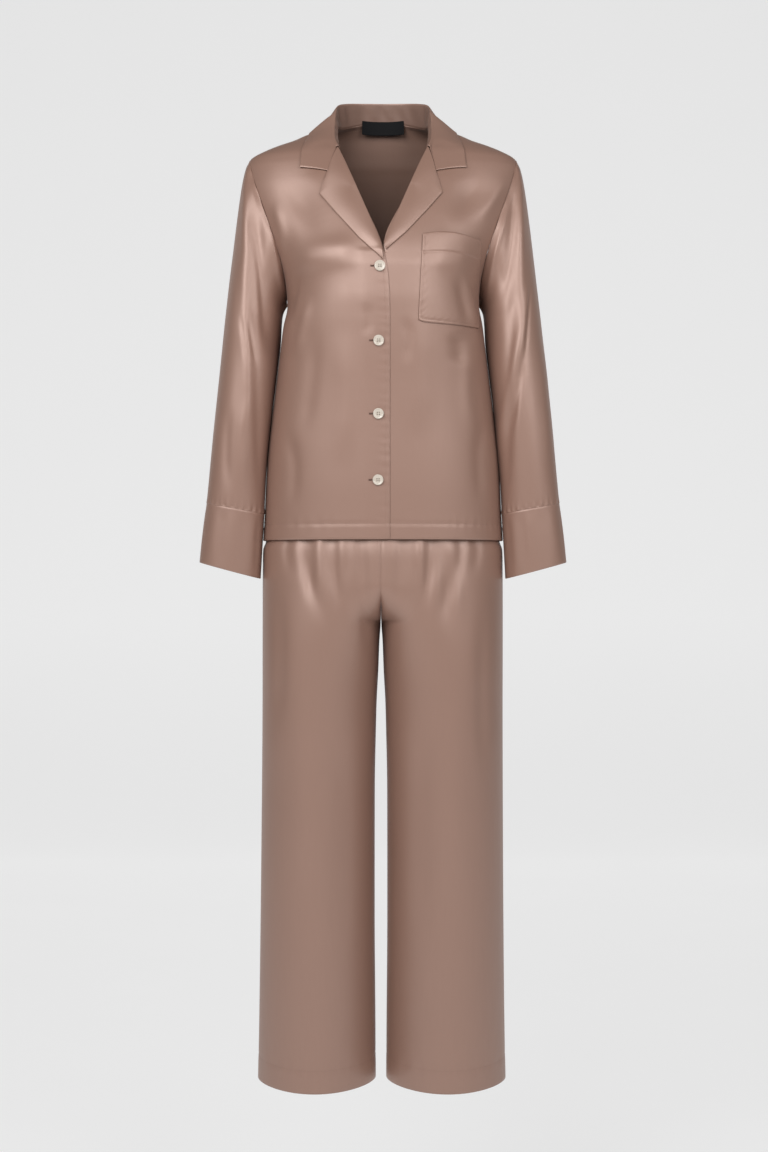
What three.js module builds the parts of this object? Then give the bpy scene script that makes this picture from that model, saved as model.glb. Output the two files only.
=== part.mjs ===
// Pyjama set: a long-sleeved shirt with a notched collar, worn over wide straight trousers.
// Millimetres, +Z up. The front faces -Y and the wearer's right hand is at -X.
// The origin is the middle of the neck opening, level with the collar seam at the side of the neck.
// Every piece of cloth is a closed wall: an outer face, the same face moved inwards, and a rim.
import * as THREE from 'three';

const WALL = 1.3; // thickness of every cloth wall
const SEAM_GAP = 0.3; // space between two pieces that are sewn together
const LAP = WALL + 0.35; // how far a piece that lies on another is moved out

const HEM_Z = -637; // lower edge of the shirt
const UNDERARM_Z = -286.2;
const SHOULDER_TIP_Z = -69;
const NECK_SIDE_Z = -14; // the point where collar, front and back meet
const BACK_NECK_RISE = 22; // how much higher the neck seam is at the centre back

const TROUSER_CENTRE_X = -3; // the inseams hang a little to the wearer's right
const TROUSER_SIDE_SHIFT = { top: 2.6, hem: 1.2 }; // and the side seams less so
const BAND_TOP_Z = -456;
const BAND_BOTTOM_Z = -490;
const CROTCH_Z = -757;
const TROUSER_HEM_Z = -1439;

const COLOURS = {
  cloth: [0.42, 0.27, 0.21],
  inside: [0.34, 0.21, 0.16],
  label: [0.03, 0.03, 0.035],
  button: [0.62, 0.57, 0.5],
};

// One row per height: half-width, depth to the front, depth to the back, and squareness.
const SHIRT = columns(['z', 'side', 'front', 'back', 'square'], [
  [-640, 179.2, 117.5, 121.5, 2.3],
  [-601, 177, 118.5, 119.5, 2.3],
  [-560, 175.3, 120, 116.5, 2.3],
  [-511, 172.3, 121.5, 110, 2.3],
  [-481, 169.2, 122.5, 106, 2.3],
  [-418, 161.5, 126, 101, 2.32],
  [-352, 153, 132, 101.5, 2.36],
  [-318, 148.7, 135, 104, 2.4],
  [-286, 143.3, 137, 108, 2.42],
  [-250, 148.4, 137, 112, 2.4],
  [-228, 157.5, 133.5, 114, 2.36],
  [-173, 187, 115, 113, 2.3],
  [-133, 202, 98, 108, 2.25],
  [-108, 206.5, 86.5, 103, 2.25],
  [-84, 206.5, 72.5, 96.5, 2.25],
  [-75, 203.5, 67, 93.5, 2.25],
  [-66, 196.5, 61.5, 90.5, 2.25],
  [-57, 180.5, 53, 87, 2.25],
  [-48, 160, 42.5, 84, 2.25],
  [-39, 135, 32, 80.5, 2.25],
  [-30, 115.5, 22, 77, 2.25],
  [-22, 92.5, 13, 73.5, 2.2],
  [-14, 68, 6, 69.5, 2.2],
]);

// The armhole seen from the front: how far from the middle the edge is at each height.
const ARMHOLE = columns(['z', 'x'], [
  [-286.2, 143.3],
  [-250, 145.3],
  [-228, 149.8],
  [-173, 167],
  [-133, 181],
  [-108, 189.5],
  [-84, 196],
  [-69, 199.2],
]);

// The wearer's right front lies on top. Its edge, then its roll line, then its neck seam.
const RIGHT_EDGE = columns(['z', 'x'], [
  [-640, 9.6],
  [-350, 9.6],
  [-262, 7],
  [-240, 3.4],
  [-222, -1],
  [-142, -33.5],
  [-62.7, -65.2],
  [-48.5, -67.2],
  [-31, -68.8],
  [-14, -68],
]);
const LEFT_EDGE = columns(['z', 'x'], [
  [-640, -19],
  [-262, -19],
  [-240, -10],
  [-230, 2.7],
  [-222, 1.5],
  [-142, 32.5],
  [-62.7, 65.2],
  [-48.5, 67.2],
  [-31, 68.8],
  [-14, 68],
]);

// Rings of a sleeve from the armhole to the cuff seam. A ring runs from an outer point to an inner
// one, and is as deep as half says to the front and back of mid.
const SLEEVE = columns(['ring', 'outX', 'outZ', 'inX', 'inZ', 'mid', 'half'], [
  [0, 199.8, -69.5, 144, -286.6, 0, 60],
  [1, 206, -84, 147.8, -293, 0, 63.5],
  [2, 212, -113, 150.6, -301, 0, 65.5],
  [3, 219, -165, 152, -316, -0.5, 67],
  [4, 227.3, -235, 153.6, -345, -1.5, 66.5],
  [5, 235.6, -315, 158.9, -395, -11, 63],
  [6, 243.8, -400, 165.3, -452, -18, 57.5],
  [7, 251.8, -480, 172, -520, -23, 50.5],
  [8, 259.2, -560, 175.2, -580, -26, 43.5],
  [9, 261.4, -583, 175.8, -598.5, -27, 41],
]);
const CUFF = columns(['ring', 'outX', 'outZ', 'inX', 'inZ', 'mid', 'half'], [
  [0, 261.4, -583.4, 175.8, -598.9, -27, 41],
  [1, 266.9, -626, 178.8, -646.5, -28, 38.8],
  [2, 271.6, -669.5, 181.2, -693.5, -29, 36],
]);

// Half of the collar from the centre back to the notch: neck seam, fold and outer edge.
const COLLAR = columns(
  ['part', 'neckX', 'neckZ', 'foldX', 'foldY', 'foldZ', 'edgeX', 'edgeZ', 'loft'],
  [
    [0, 0, -14, 0, 66, 37.4, 0, -45, 3],
    [1, 30, -14, 31, 59.5, 35.8, 45, -44, 3],
    [2, 52.5, -14, 54.5, 41.5, 30.4, 83, -39.5, 3],
    [3, 63.6, -14, 67.8, 23, 22.4, 100, -33, 1.4],
    [4, 68, -14, 71.4, 4, 7, 107.5, -28.6, 0.6],
    [5, 68, -31, 72.8, -16, -16.5, 112, -41, 1.4],
    [6, 68, -48.5, 72.2, -39, -40, 117.8, -62, 2.4],
    [7, 68, -62.7, 66.2, -60.5, -59.6, 121.2, -95, 1.5],
  ],
);
// Where collar and lapel part on each side, seen from the front.
const NOTCH_RIGHT = { x: -80.4, z: -102.9 };
const NOTCH_LEFT = { x: 76.8, z: -102.6 };

// Each lapel from the notch down: the roll line and the outer edge, both seen from the front.
const LAPEL_LEFT = columns(['part', 'rollX', 'rollZ', 'edgeX', 'edgeZ'], [
  [0, 64.3, -64.5, 76.8, -103.6],
  [1, 56, -84, 81, -119],
  [2, 47.5, -105, 85.3, -137.2],
  [3, 33, -140.5, 62.5, -166],
  [4, 18, -177.5, 34.5, -200.5],
  [5, 3.6, -214, 10.5, -224],
]);
const LAPEL_RIGHT = columns(['part', 'rollX', 'rollZ', 'edgeX', 'edgeZ'], [
  [0, -65.4, -64.5, -80.8, -104.2],
  [1, -57, -84, -86.3, -120],
  [2, -48.5, -105, -91.6, -139.2],
  [3, -33.5, -142, -66, -171.5],
  [4, -18, -180, -33.5, -210],
  [5, -3, -217, 0.5, -243],
]);

// The breast pocket on the wearer's left: left and right sides, top and bottom.
const POCKET = columns(['across', 'topX', 'topZ', 'lowX', 'lowZ'], [
  [0, 57, -203.5, 50.5, -326],
  [0.08, 64, -202.2, 57.5, -328.5],
  [0.5, 98, -199.8, 95, -329.6],
  [1, 140.6, -204.6, 138.6, -328.8],
]);

const BUTTONS = [
  { x: -4.4, z: -251.3 },
  { x: -6.1, z: -356 },
  { x: -6.5, z: -459 },
  { x: -7.1, z: -553 },
];
const BUTTON_RADIUS = 7.6;
const BUTTON_HEIGHT = 2.4;

// The hips, and further down the outer side of the legs. Both legs are mirrored about the middle.
const HIPS = columns(['z', 'side', 'front', 'back', 'square'], [
  [-456, 143, 97, 93, 2.2],
  [-490, 150, 102, 97.5, 2.2],
  [-530, 159.5, 106.5, 103.5, 2.25],
  [-570, 167, 109.5, 109, 2.3],
  [-605, 171, 111, 112, 2.3],
  [-632, 173.6, 112.2, 114.4, 2.3],
  [-640, 175, 112.8, 115.2, 2.3],
  [-650, 178.8, 114.4, 116.6, 2.3],
  [-670, 179.4, 115.5, 118, 2.3],
  [-921, 179.8, 116, 119, 2.3],
  [-1010, 180.4, 116, 119, 2.3],
  [-1190, 181.8, 116, 119, 2.3],
  [-1371, 184, 116, 119, 2.3],
  [-1439, 185.2, 116, 119, 2.3],
]);
const LEG = columns(['z', 'inner', 'front', 'back', 'square', 'pinch'], [
  [-640, 0.2, 113, 117, 2.2, 0],
  [-757, 0.4, 110, 116, 2.2, 0],
  [-785, 2.2, 108.5, 114, 2.2, 0],
  [-831, 4, 106, 110, 2.15, 0],
  [-876, 6.4, 103.5, 107, 2.1, 0],
  [-921, 7.6, 101, 104, 2.1, 0],
  [-1010, 9.2, 97.5, 100, 2, 0.02],
  [-1190, 9.4, 92, 95, 2, 0.07],
  [-1371, 8.2, 88.5, 91, 2, 0.12],
  [-1439, 8, 88, 90, 2, 0.15],
]);

// Soft folds in the trousers below the shirt. across runs from the side seam to the centre.
const TROUSER_FOLDS = [
  { across: 0.47, width: 0.05, depth: 3.2, low: -700 },
  { across: 0.6, width: 0.05, depth: 4, low: -790 },
  { across: 0.76, width: 0.05, depth: 4.2, low: -760 },
  { across: 0.9, width: 0.04, depth: 3.4, low: -740 },
];
// Long folds in a sleeve: around is the angle from the shoulder to the front, at two rings.
const SLEEVE_FOLDS = [
  { around: [38, 128], ring: [1.2, 7.6], width: 15, depth: -3.6 },
  { around: [66, 150], ring: [2.6, 8], width: 14, depth: 3 },
  { around: [-50, -118], ring: [1.5, 7], width: 18, depth: -3 },
];

// Reads a table and returns one smooth function per named column, all of the first column.
function columns(names, rows) {
  const sorted = [...rows].sort((a, b) => a[0] - b[0]);
  const at = sorted.map((row) => row[0]);
  const out = { first: at[0], last: at[at.length - 1] };
  names.slice(1).forEach((name, k) => {
    out[name] = through(at, sorted.map((row) => row[k + 1]));
  });
  return out;
}

// A smooth curve through given points that does not overshoot between them.
function through(xs, ys) {
  const rise = xs.slice(1).map((x, i) => (ys[i + 1] - ys[i]) / (x - xs[i]));
  const slopes = xs.map((x, i) => {
    if (i === 0) return rise[0];
    if (i === xs.length - 1) return rise[i - 1];
    if (rise[i - 1] * rise[i] <= 0) return 0;
    const before = xs[i] - xs[i - 1];
    const after = xs[i + 1] - xs[i];
    const mean = (rise[i - 1] * after + rise[i] * before) / (before + after);
    const most = 3 * Math.min(Math.abs(rise[i - 1]), Math.abs(rise[i]));
    return Math.sign(mean) * Math.min(Math.abs(mean), most);
  });
  return (value) => {
    const x = Math.min(Math.max(value, xs[0]), xs[xs.length - 1]);
    let i = 0;
    while (i < xs.length - 2 && x > xs[i + 1]) i += 1;
    const span = xs[i + 1] - xs[i];
    const t = (x - xs[i]) / span;
    const start = (1 + 2 * t) * (1 - t) ** 2 * ys[i] + t * (1 - t) ** 2 * span * slopes[i];
    const end = t * t * (3 - 2 * t) * ys[i + 1] + t * t * (t - 1) * span * slopes[i + 1];
    return start + end;
  };
}

function ramp(from, to, value) {
  const t = Math.min(Math.max((value - from) / (to - from), 0), 1);
  return t * t * (3 - 2 * t);
}

function mix(a, b, t) {
  return a + (b - a) * t;
}

function power(value, exponent) {
  return Math.sign(value) * Math.abs(value) ** exponent;
}

function steps(count, from = 0, to = 1) {
  return Array.from({ length: count + 1 }, (_, i) => mix(from, to, i / count));
}

// A point on the shirt's body. The angle is 0 at the side and 90 degrees at the middle.
// side is -1 on the wearer's right and 1 on the left; face is -1 at the front and 1 at the back.
function shirtPoint(side, face, angle, z, out = 0) {
  const bend = 2 / SHIRT.square(z);
  const depth = face < 0 ? SHIRT.front(z) : SHIRT.back(z);
  const x = side * (SHIRT.side(z) + out) * power(Math.cos(angle), bend);
  const y = face * (depth + out) * power(Math.sin(angle), bend);
  const rise = face > 0 ? BACK_NECK_RISE * ramp(-62, NECK_SIDE_Z, z) * Math.sin(angle) ** 2 : 0;
  return new THREE.Vector3(x, y, z + rise);
}

// The angle at which the shirt's body is a given distance from the middle.
function angleAt(distance, z) {
  const share = Math.min(Math.max(distance / SHIRT.side(z), -1), 1);
  return Math.acos(power(share, SHIRT.square(z) / 2));
}

// The angle of the edge at the side: the side seam, the armhole or the shoulder seam.
function sideAngle(face, z) {
  const depth = face < 0 ? SHIRT.front(z) : SHIRT.back(z);
  const seam = Math.asin((SEAM_GAP / 2 / depth) ** (SHIRT.square(z) / 2));
  if (z <= UNDERARM_Z || z >= SHOULDER_TIP_Z) return seam;
  return Math.max(seam, angleAt(ARMHOLE.x(z), z));
}

// Lifts the front that lies on top off the one beneath, near the buttons.
function lapLift(x) {
  return LAP * ramp(-44, -24, x);
}

const RISING_ROWS = [
  ...steps(8, HEM_Z, UNDERARM_Z),
  -262, -240, -230, -222, -196, -168, -140, -116, -96, -82, -74, SHOULDER_TIP_Z,
  -63.5, -57, -50, -43, -36, -29.5, -23.5, -18.5,
];

function frontPanel(side) {
  const edge = side < 0 ? RIGHT_EDGE : LEFT_EDGE;
  const rows = RISING_ROWS;
  return {
    us: steps(11),
    vs: rows.map((z) => (z - rows[0]) / (rows[rows.length - 1] - rows[0])),
    at: (u, v) => {
      const z = mix(rows[0], rows[rows.length - 1], v);
      const first = sideAngle(-1, z);
      const last = angleAt(side * edge.x(z), z);
      const point = shirtPoint(side, -1, mix(first, last, u), z);
      if (side < 0) {
        const lift = lapLift(point.x) * ramp(-222, -230, z);
        point.y -= lift;
      }
      return point;
    },
    outward: new THREE.Vector3(side * 0.3, -1, 0.1),
  };
}

function backPanel() {
  const rows = [...RISING_ROWS, NECK_SIDE_Z];
  return {
    us: steps(16),
    vs: rows.map((z) => (z - rows[0]) / (rows[rows.length - 1] - rows[0])),
    at: (u, v) => {
      const z = mix(rows[0], rows[rows.length - 1], v);
      const first = sideAngle(1, z);
      return shirtPoint(1, 1, mix(first, Math.PI - first, u), z);
    },
    outward: new THREE.Vector3(0, 1, 0.1),
  };
}

// A point on a ring of a sleeve or cuff. Angle 0 is the outer point and 90 degrees is the front.
function ringPoint(table, ring, angle) {
  const outX = table.outX(ring);
  const outZ = table.outZ(ring);
  const inX = table.inX(ring);
  const inZ = table.inZ(ring);
  const across = power(Math.cos(angle), 0.95);
  const deep = power(Math.sin(angle), 0.95);
  return new THREE.Vector3(
    (outX + inX) / 2 + ((outX - inX) / 2) * across,
    table.mid(ring) - table.half(ring) * deep,
    (outZ + inZ) / 2 + ((outZ - inZ) / 2) * across,
  );
}

// The armhole's edge, with the sleeve's first ring a seam gap away from it.
function armholePoint(angle) {
  const middle = (SHOULDER_TIP_Z + UNDERARM_Z) / 2;
  const reach = (SHOULDER_TIP_Z - UNDERARM_Z) / 2;
  const z = middle + reach * Math.cos(angle);
  const face = Math.sin(angle) < 0 ? 1 : -1;
  const point = shirtPoint(1, face, sideAngle(face, z), z);
  const clear = SEAM_GAP + 0.15;
  const down = 0.7 * Math.max(Math.cos(angle), 0) ** 4;
  const y = Math.abs(Math.sin(angle)) < 1e-6 ? 0 : point.y;
  return new THREE.Vector3(point.x + clear, y, z - clear * down);
}

function sleeveFold(angle, ring) {
  let depth = 0;
  const degrees = (((angle * 180) / Math.PI + 540) % 360) - 180;
  for (const fold of SLEEVE_FOLDS) {
    const along = (ring - fold.ring[0]) / (fold.ring[1] - fold.ring[0]);
    const centre = mix(fold.around[0], fold.around[1], along);
    const off = (((degrees - centre + 540) % 360) - 180) / fold.width;
    const fade = ramp(-0.05, 0.3, along) * ramp(1.05, 0.7, along);
    depth += fold.depth * Math.exp(-off * off) * fade;
  }
  return depth;
}

function sleevePoint(ring, angle) {
  const point = ringPoint(SLEEVE, ring, angle);
  const keep = 1 - ramp(0, 3, ring);
  if (keep > 0) {
    const change = armholePoint(angle).sub(ringPoint(SLEEVE, 0, angle));
    point.addScaledVector(change, keep);
  }
  const out = new THREE.Vector3(Math.cos(angle) * 0.8, -Math.sin(angle), 0);
  return point.addScaledVector(out, -sleeveFold(angle, ring));
}

function mirrored(side, point) {
  return new THREE.Vector3(side * point.x, point.y, point.z);
}

function sleeve(side) {
  const last = 9;
  const rings = [0, 0.5, 1, 1.6, 2.3, 3, 3.8, 4.6, 5.4, 6.2, 7, 7.8, 8.5, 9];
  return {
    closed: true,
    us: steps(20),
    vs: rings.map((ring) => ring / last),
    at: (u, v) => mirrored(side, sleevePoint(v * last, u * Math.PI * 2)),
    centre: (u, v) => {
      const ring = v * last;
      const x = (SLEEVE.outX(ring) + SLEEVE.inX(ring)) / 2;
      const z = (SLEEVE.outZ(ring) + SLEEVE.inZ(ring)) / 2;
      return new THREE.Vector3(side * x, SLEEVE.mid(ring), z);
    },
  };
}

function cuff(side) {
  return {
    closed: true,
    us: steps(20),
    vs: steps(2),
    at: (u, v) => mirrored(side, ringPoint(CUFF, v * 2, u * Math.PI * 2)),
    centre: (u, v) => {
      const x = (CUFF.outX(v * 2) + CUFF.inX(v * 2)) / 2;
      const z = (CUFF.outZ(v * 2) + CUFF.inZ(v * 2)) / 2;
      return new THREE.Vector3(side * x, CUFF.mid(v * 2), z);
    },
  };
}

// A point held a given distance off the face of the shirt.
function offShirt(side, face, angle, z, out) {
  const step = 1e-3;
  const along = shirtPoint(side, face, angle + step, z).sub(shirtPoint(side, face, angle - step, z));
  const up = shirtPoint(side, face, angle, z + 0.5).sub(shirtPoint(side, face, angle, z - 0.5));
  const normal = along.cross(up).normalize();
  const point = shirtPoint(side, face, angle, z);
  const away = new THREE.Vector3(point.x, point.y, 0);
  return point.addScaledVector(normal, out * (Math.sign(normal.dot(away)) || 1));
}

// The height of the shirt's shoulder above a point in plan.
function shoulderHeight(x, y) {
  let low = -130;
  let high = NECK_SIDE_Z;
  for (let i = 0; i < 40; i += 1) {
    const z = (low + high) / 2;
    const depth = y < 0 ? SHIRT.front(z) : SHIRT.back(z);
    const n = SHIRT.square(z);
    const inside = Math.abs(x / SHIRT.side(z)) ** n + Math.abs(y / depth) ** n < 1;
    if (inside) low = z;
    else high = z;
  }
  const z = (low + high) / 2;
  const angle = angleAt(Math.abs(x), z);
  const rise = y > 0 ? BACK_NECK_RISE * ramp(-62, NECK_SIDE_Z, z) * Math.sin(angle) ** 2 : 0;
  return z + rise;
}

// The lowest that cloth may lie over a point in plan when it clears the shirt by a distance.
function restingHeight(x, y, clear) {
  const height = shoulderHeight(x, y);
  const slopeX = shoulderHeight(x + 1, y) - height;
  const slopeY = shoulderHeight(x, y + (y < 0 ? -1 : 1)) - height;
  return height + clear * Math.min(Math.sqrt(1 + slopeX ** 2 + slopeY ** 2), 2.4);
}

// Where the collar is sewn on: round the back of the neck, then down the front's neck seam.
function neckPoint(k) {
  if (k <= 4) {
    const angle = angleAt(COLLAR.neckX(k), NECK_SIDE_Z);
    const seam = shirtPoint(1, 1, angle, NECK_SIDE_Z, -WALL);
    return seam.add(new THREE.Vector3(-0.3 * Math.cos(angle), 0, 0.45));
  }
  const z = COLLAR.neckZ(k);
  const x = LEFT_EDGE.x(z);
  const point = shirtPoint(1, -1, angleAt(x, z), z);
  return new THREE.Vector3(x - WALL - 0.4, point.y + 0.3, z + 0.5);
}

// One profile across the collar: up the stand, round the fold and down to the outer edge.
function collarPoint(part, across) {
  const k = Math.abs(part);
  const side = part < 0 ? -1 : 1;
  const neck = neckPoint(k);
  const fold = new THREE.Vector3(COLLAR.foldX(k), COLLAR.foldY(k), COLLAR.foldZ(k));
  const clear = LAP + 1;
  const restAngle = angleAt(COLLAR.edgeX(k), COLLAR.edgeZ(k));
  const edge = offShirt(1, k < 4 ? 1 : -1, restAngle, COLLAR.edgeZ(k), clear);
  const plan = new THREE.Vector3(edge.x - fold.x, edge.y - fold.y, 0).normalize();
  const tight = 1 - 0.5 * ramp(5, 7, k);
  const inner = neck.clone().lerp(fold, 0.88).addScaledVector(plan, -0.9 * tight);
  const outer = fold.clone().addScaledVector(plan, 2.6);
  outer.z -= 1.4;
  if (across <= 0.4) {
    const spots = [neck, neck.clone().lerp(inner, 0.5), inner, fold, outer];
    const at = [0, 0.14, 0.27, 0.33, 0.4];
    const x = through(at, spots.map((p) => p.x))(across);
    const y = through(at, spots.map((p) => p.y))(across);
    const z = through(at, spots.map((p) => p.z))(across);
    return new THREE.Vector3(side * x, y, z);
  }
  const corner = side < 0 ? NOTCH_RIGHT : NOTCH_LEFT;
  const cut = offShirt(1, -1, angleAt(Math.abs(corner.x), corner.z), corner.z, clear);
  const notch = ramp(6.1, 7, k);
  const middle = outer.clone().lerp(edge, 0.5).lerp(cut, notch);
  const s = (across - 0.4) / 0.6;
  const point = s < 0.5 ? outer.clone().lerp(middle, 2 * s) : middle.clone().lerp(edge, 2 * s - 1);
  point.z += COLLAR.loft(k) * Math.sin(Math.PI * s) * (1 - notch);
  const lowest = restingHeight(point.x, point.y, clear);
  point.z = Math.max(point.z, mix(point.z, lowest, ramp(0, 0.25, s)));
  return new THREE.Vector3(side * point.x, point.y, point.z);
}

function collar() {
  return {
    us: [0, 0.14, 0.27, 0.33, 0.4, 0.5, 0.6, 0.7, 0.8, 0.9, 1],
    vs: steps(24),
    at: (u, v) => collarPoint(mix(-7, 7, v), u),
    turn: -1,
  };
}

function lapel(side) {
  const table = side < 0 ? LAPEL_RIGHT : LAPEL_LEFT;
  return {
    us: steps(3),
    vs: [0, 0.2, 0.4, 0.5, 0.6, 0.7, 0.8, 0.9, 1],
    at: (u, v) => {
      const part = v * 5;
      const x = mix(table.rollX(part), table.edgeX(part), u);
      const z = mix(table.rollZ(part), table.edgeZ(part), u);
      const lift = side < 0 ? lapLift(x) * ramp(-222, -230, z) : 0;
      const loft = 2.2 * Math.sin(Math.PI * u) + 0.5;
      return offShirt(side, -1, angleAt(side * x, z), z, LAP + lift + loft);
    },
    outward: new THREE.Vector3(0, -1, 0),
  };
}

function pocket() {
  return {
    us: [0, 0.08, ...steps(10, 0.18, 1)],
    vs: [0, 0.1, ...steps(7, 0.22, 1)],
    at: (u, v) => {
      const x = mix(POCKET.topX(u), POCKET.lowX(u), v);
      const z = mix(POCKET.topZ(u), POCKET.lowZ(u), v);
      const gape = 2.2 * Math.sin(Math.PI * u) * ramp(0.2, 0, v);
      return offShirt(1, -1, angleAt(x, z), z, LAP + 0.6 + gape);
    },
    outward: new THREE.Vector3(0.3, -1, 0),
  };
}

function neckLabel() {
  return {
    wall: 0.8,
    us: steps(4),
    vs: steps(1),
    at: (u, v) => {
      const side = angleAt(33, NECK_SIDE_Z);
      const z = mix(-11, 9.6, v);
      const inset = WALL + 0.4 + 0.7 * v * (2 * u - 1) ** 2;
      const point = shirtPoint(1, 1, mix(side, Math.PI - side, u), NECK_SIDE_Z, -inset);
      return new THREE.Vector3(point.x, point.y, z);
    },
    outward: new THREE.Vector3(0, 1, 0),
  };
}

function trouserFold(across, z) {
  let depth = 0;
  for (const fold of TROUSER_FOLDS) {
    const off = (across - fold.across) / fold.width;
    depth += fold.depth * Math.exp(-off * off) * ramp(fold.low, -650, z) * ramp(-500, -600, z);
  }
  return depth;
}

// How far a point of the trousers is moved sideways. share is 0 in the middle and 1 at the side.
function trouserShift(share, z) {
  const side = mix(TROUSER_SIDE_SHIFT.hem, TROUSER_SIDE_SHIFT.top, ramp(TROUSER_HEM_Z, -700, z));
  return TROUSER_CENTRE_X + side * share * share;
}

// A point on the trousers. across is 0 at the side seam and 1 at the centre seam or inseam.
function trouserPoint(side, face, across, z) {
  const hip = HIPS.square(z);
  const hipDepth = face < 0 ? HIPS.front(z) : HIPS.back(z);
  const hipX = HIPS.side(z) * power(Math.cos((across * Math.PI) / 2), 2 / hip);
  const round = LEG.square(z);
  const legDepth = face < 0 ? LEG.front(z) : LEG.back(z);
  const middle = (HIPS.side(z) + LEG.inner(z)) / 2;
  const reach = (HIPS.side(z) - LEG.inner(z)) / 2;
  const legX = middle + reach * power(Math.cos(across * Math.PI), 2 / round);
  const slow = ramp(-640, -850, z);
  const drop = Math.min(Math.max((-700 - z) / (-700 - CROTCH_Z), 0), 1);
  const quick = 1 - Math.sqrt(1 - drop * drop);
  const leg = mix(slow, quick, ramp(0.7, 1, across));
  const mixedX = mix(hipX, legX, leg);
  const hipShare = Math.min(mixedX / HIPS.side(z), 1);
  const legShare = Math.min(Math.abs(mixedX - middle) / reach, 1);
  const hipY = hipDepth * Math.max(1 - hipShare ** hip, 0) ** (1 / hip);
  const pinch = 1 - LEG.pinch(z) * legShare * legShare;
  const legY = pinch * legDepth * Math.max(1 - legShare ** round, 0) ** (1 / round);
  const seam = SEAM_GAP / 2;
  const x = Math.max(mixedX, seam);
  let y = mix(hipY, legY, leg);
  const edge = Math.min(across, 1 - across);
  if (edge < 0.02) y = Math.max(y, seam);
  const ease = face < 0 ? trouserFold(across, z) : 0.8 * trouserFold(across * 0.9 + 0.05, z);
  const shift = trouserShift(x / HIPS.side(z), z);
  return new THREE.Vector3(shift + side * x, face * Math.max(y - ease, seam), z);
}

function trouserPanel(side, face) {
  const rows = [
    BAND_BOTTOM_Z - SEAM_GAP, -530, -575, -612, -632, -640, -650, -672, -700, -720, -736, -748, -754,
    CROTCH_Z, -772, -800, -840, -900, -1010, -1120, -1230, -1340, TROUSER_HEM_Z,
  ];
  const top = rows[0];
  return {
    us: steps(12),
    vs: rows.map((z) => (z - top) / (TROUSER_HEM_Z - top)),
    at: (u, v) => trouserPoint(side, face, u, mix(top, TROUSER_HEM_Z, v)),
    outward: new THREE.Vector3(side * 0.3, face, 0),
  };
}

function waistband() {
  return {
    closed: true,
    wall: 2,
    us: steps(28),
    vs: steps(2),
    at: (u, v) => {
      const z = mix(BAND_TOP_Z, BAND_BOTTOM_Z, v);
      const angle = u * Math.PI * 2;
      const bend = 2 / HIPS.square(z);
      const depth = Math.sin(angle) < 0 ? HIPS.front(z) : HIPS.back(z);
      const x = HIPS.side(z) * power(Math.cos(angle), bend);
      const shift = trouserShift(Math.abs(x) / HIPS.side(z), z);
      return new THREE.Vector3(shift + x, depth * power(Math.sin(angle), bend), z);
    },
    centre: () => new THREE.Vector3(TROUSER_CENTRE_X, 0, -470),
  };
}

// The face's own direction at a spot, found from two short steps within the face.
function normalAt(face, u, v) {
  const step = 1e-3;
  const u0 = face.closed ? u - step : Math.max(u - step, 0);
  const u1 = face.closed ? u + step : Math.min(u + step, 1);
  const v0 = Math.max(v - step, 0);
  const v1 = Math.min(v + step, 1);
  const along = face.at(u1, v).sub(face.at(u0, v));
  const up = face.at(u, v1).sub(face.at(u, v0));
  const normal = along.cross(up).normalize();
  let turn = face.turn || 1;
  if (face.outward) turn = Math.sign(normal.dot(face.outward)) || 1;
  if (face.centre) turn = Math.sign(normal.dot(face.at(u, v).sub(face.centre(u, v)))) || 1;
  return normal.multiplyScalar(turn);
}

// The face's turn is found once, in its middle, so that a tight fold cannot flip it.
function settled(face) {
  if (!face.outward) return face;
  const middle = { ...face, turn: 1, outward: undefined };
  const turn = Math.sign(normalAt(middle, 0.5, 0.5).dot(face.outward)) || 1;
  return { ...face, outward: undefined, turn };
}

function wallMesh(name, given, colour) {
  const face = settled(given);
  const { us, vs, closed } = face;
  const thick = face.wall || WALL;
  const wide = closed ? us.length - 1 : us.length;
  const tall = vs.length;
  const outer = [];
  const inner = [];
  for (let j = 0; j < tall; j += 1) {
    for (let i = 0; i < wide; i += 1) {
      const point = face.at(us[i], vs[j]);
      const normal = normalAt(face, us[i], vs[j]);
      outer.push(point);
      inner.push(point.clone().addScaledVector(normal, -thick));
    }
  }
  const count = wide * tall;
  const points = [...outer, ...inner];
  const triangles = [];
  const quad = (a, b, c, d) => {
    const short = points[a].distanceTo(points[c]) <= points[b].distanceTo(points[d]);
    if (short) triangles.push(a, b, c, a, c, d);
    else triangles.push(a, b, d, b, c, d);
  };
  const spans = closed ? wide : wide - 1;
  for (let j = 0; j < tall - 1; j += 1) {
    for (let i = 0; i < spans; i += 1) {
      const next = (i + 1) % wide;
      const a = j * wide + i;
      const b = j * wide + next;
      const c = (j + 1) * wide + next;
      const d = (j + 1) * wide + i;
      quad(a, b, c, d);
      quad(d + count, c + count, b + count, a + count);
    }
  }
  for (let i = 0; i < spans; i += 1) {
    const next = (i + 1) % wide;
    const top = (tall - 1) * wide;
    quad(next, i, i + count, next + count);
    quad(top + i, top + next, top + next + count, top + i + count);
  }
  if (!closed) {
    for (let j = 0; j < tall - 1; j += 1) {
      const a = j * wide;
      const b = (j + 1) * wide;
      quad(a, b, b + count, a + count);
      quad(b + wide - 1, a + wide - 1, a + wide - 1 + count, b + wide - 1 + count);
    }
  }
  return solid(name, points, triangles, colour);
}

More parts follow.
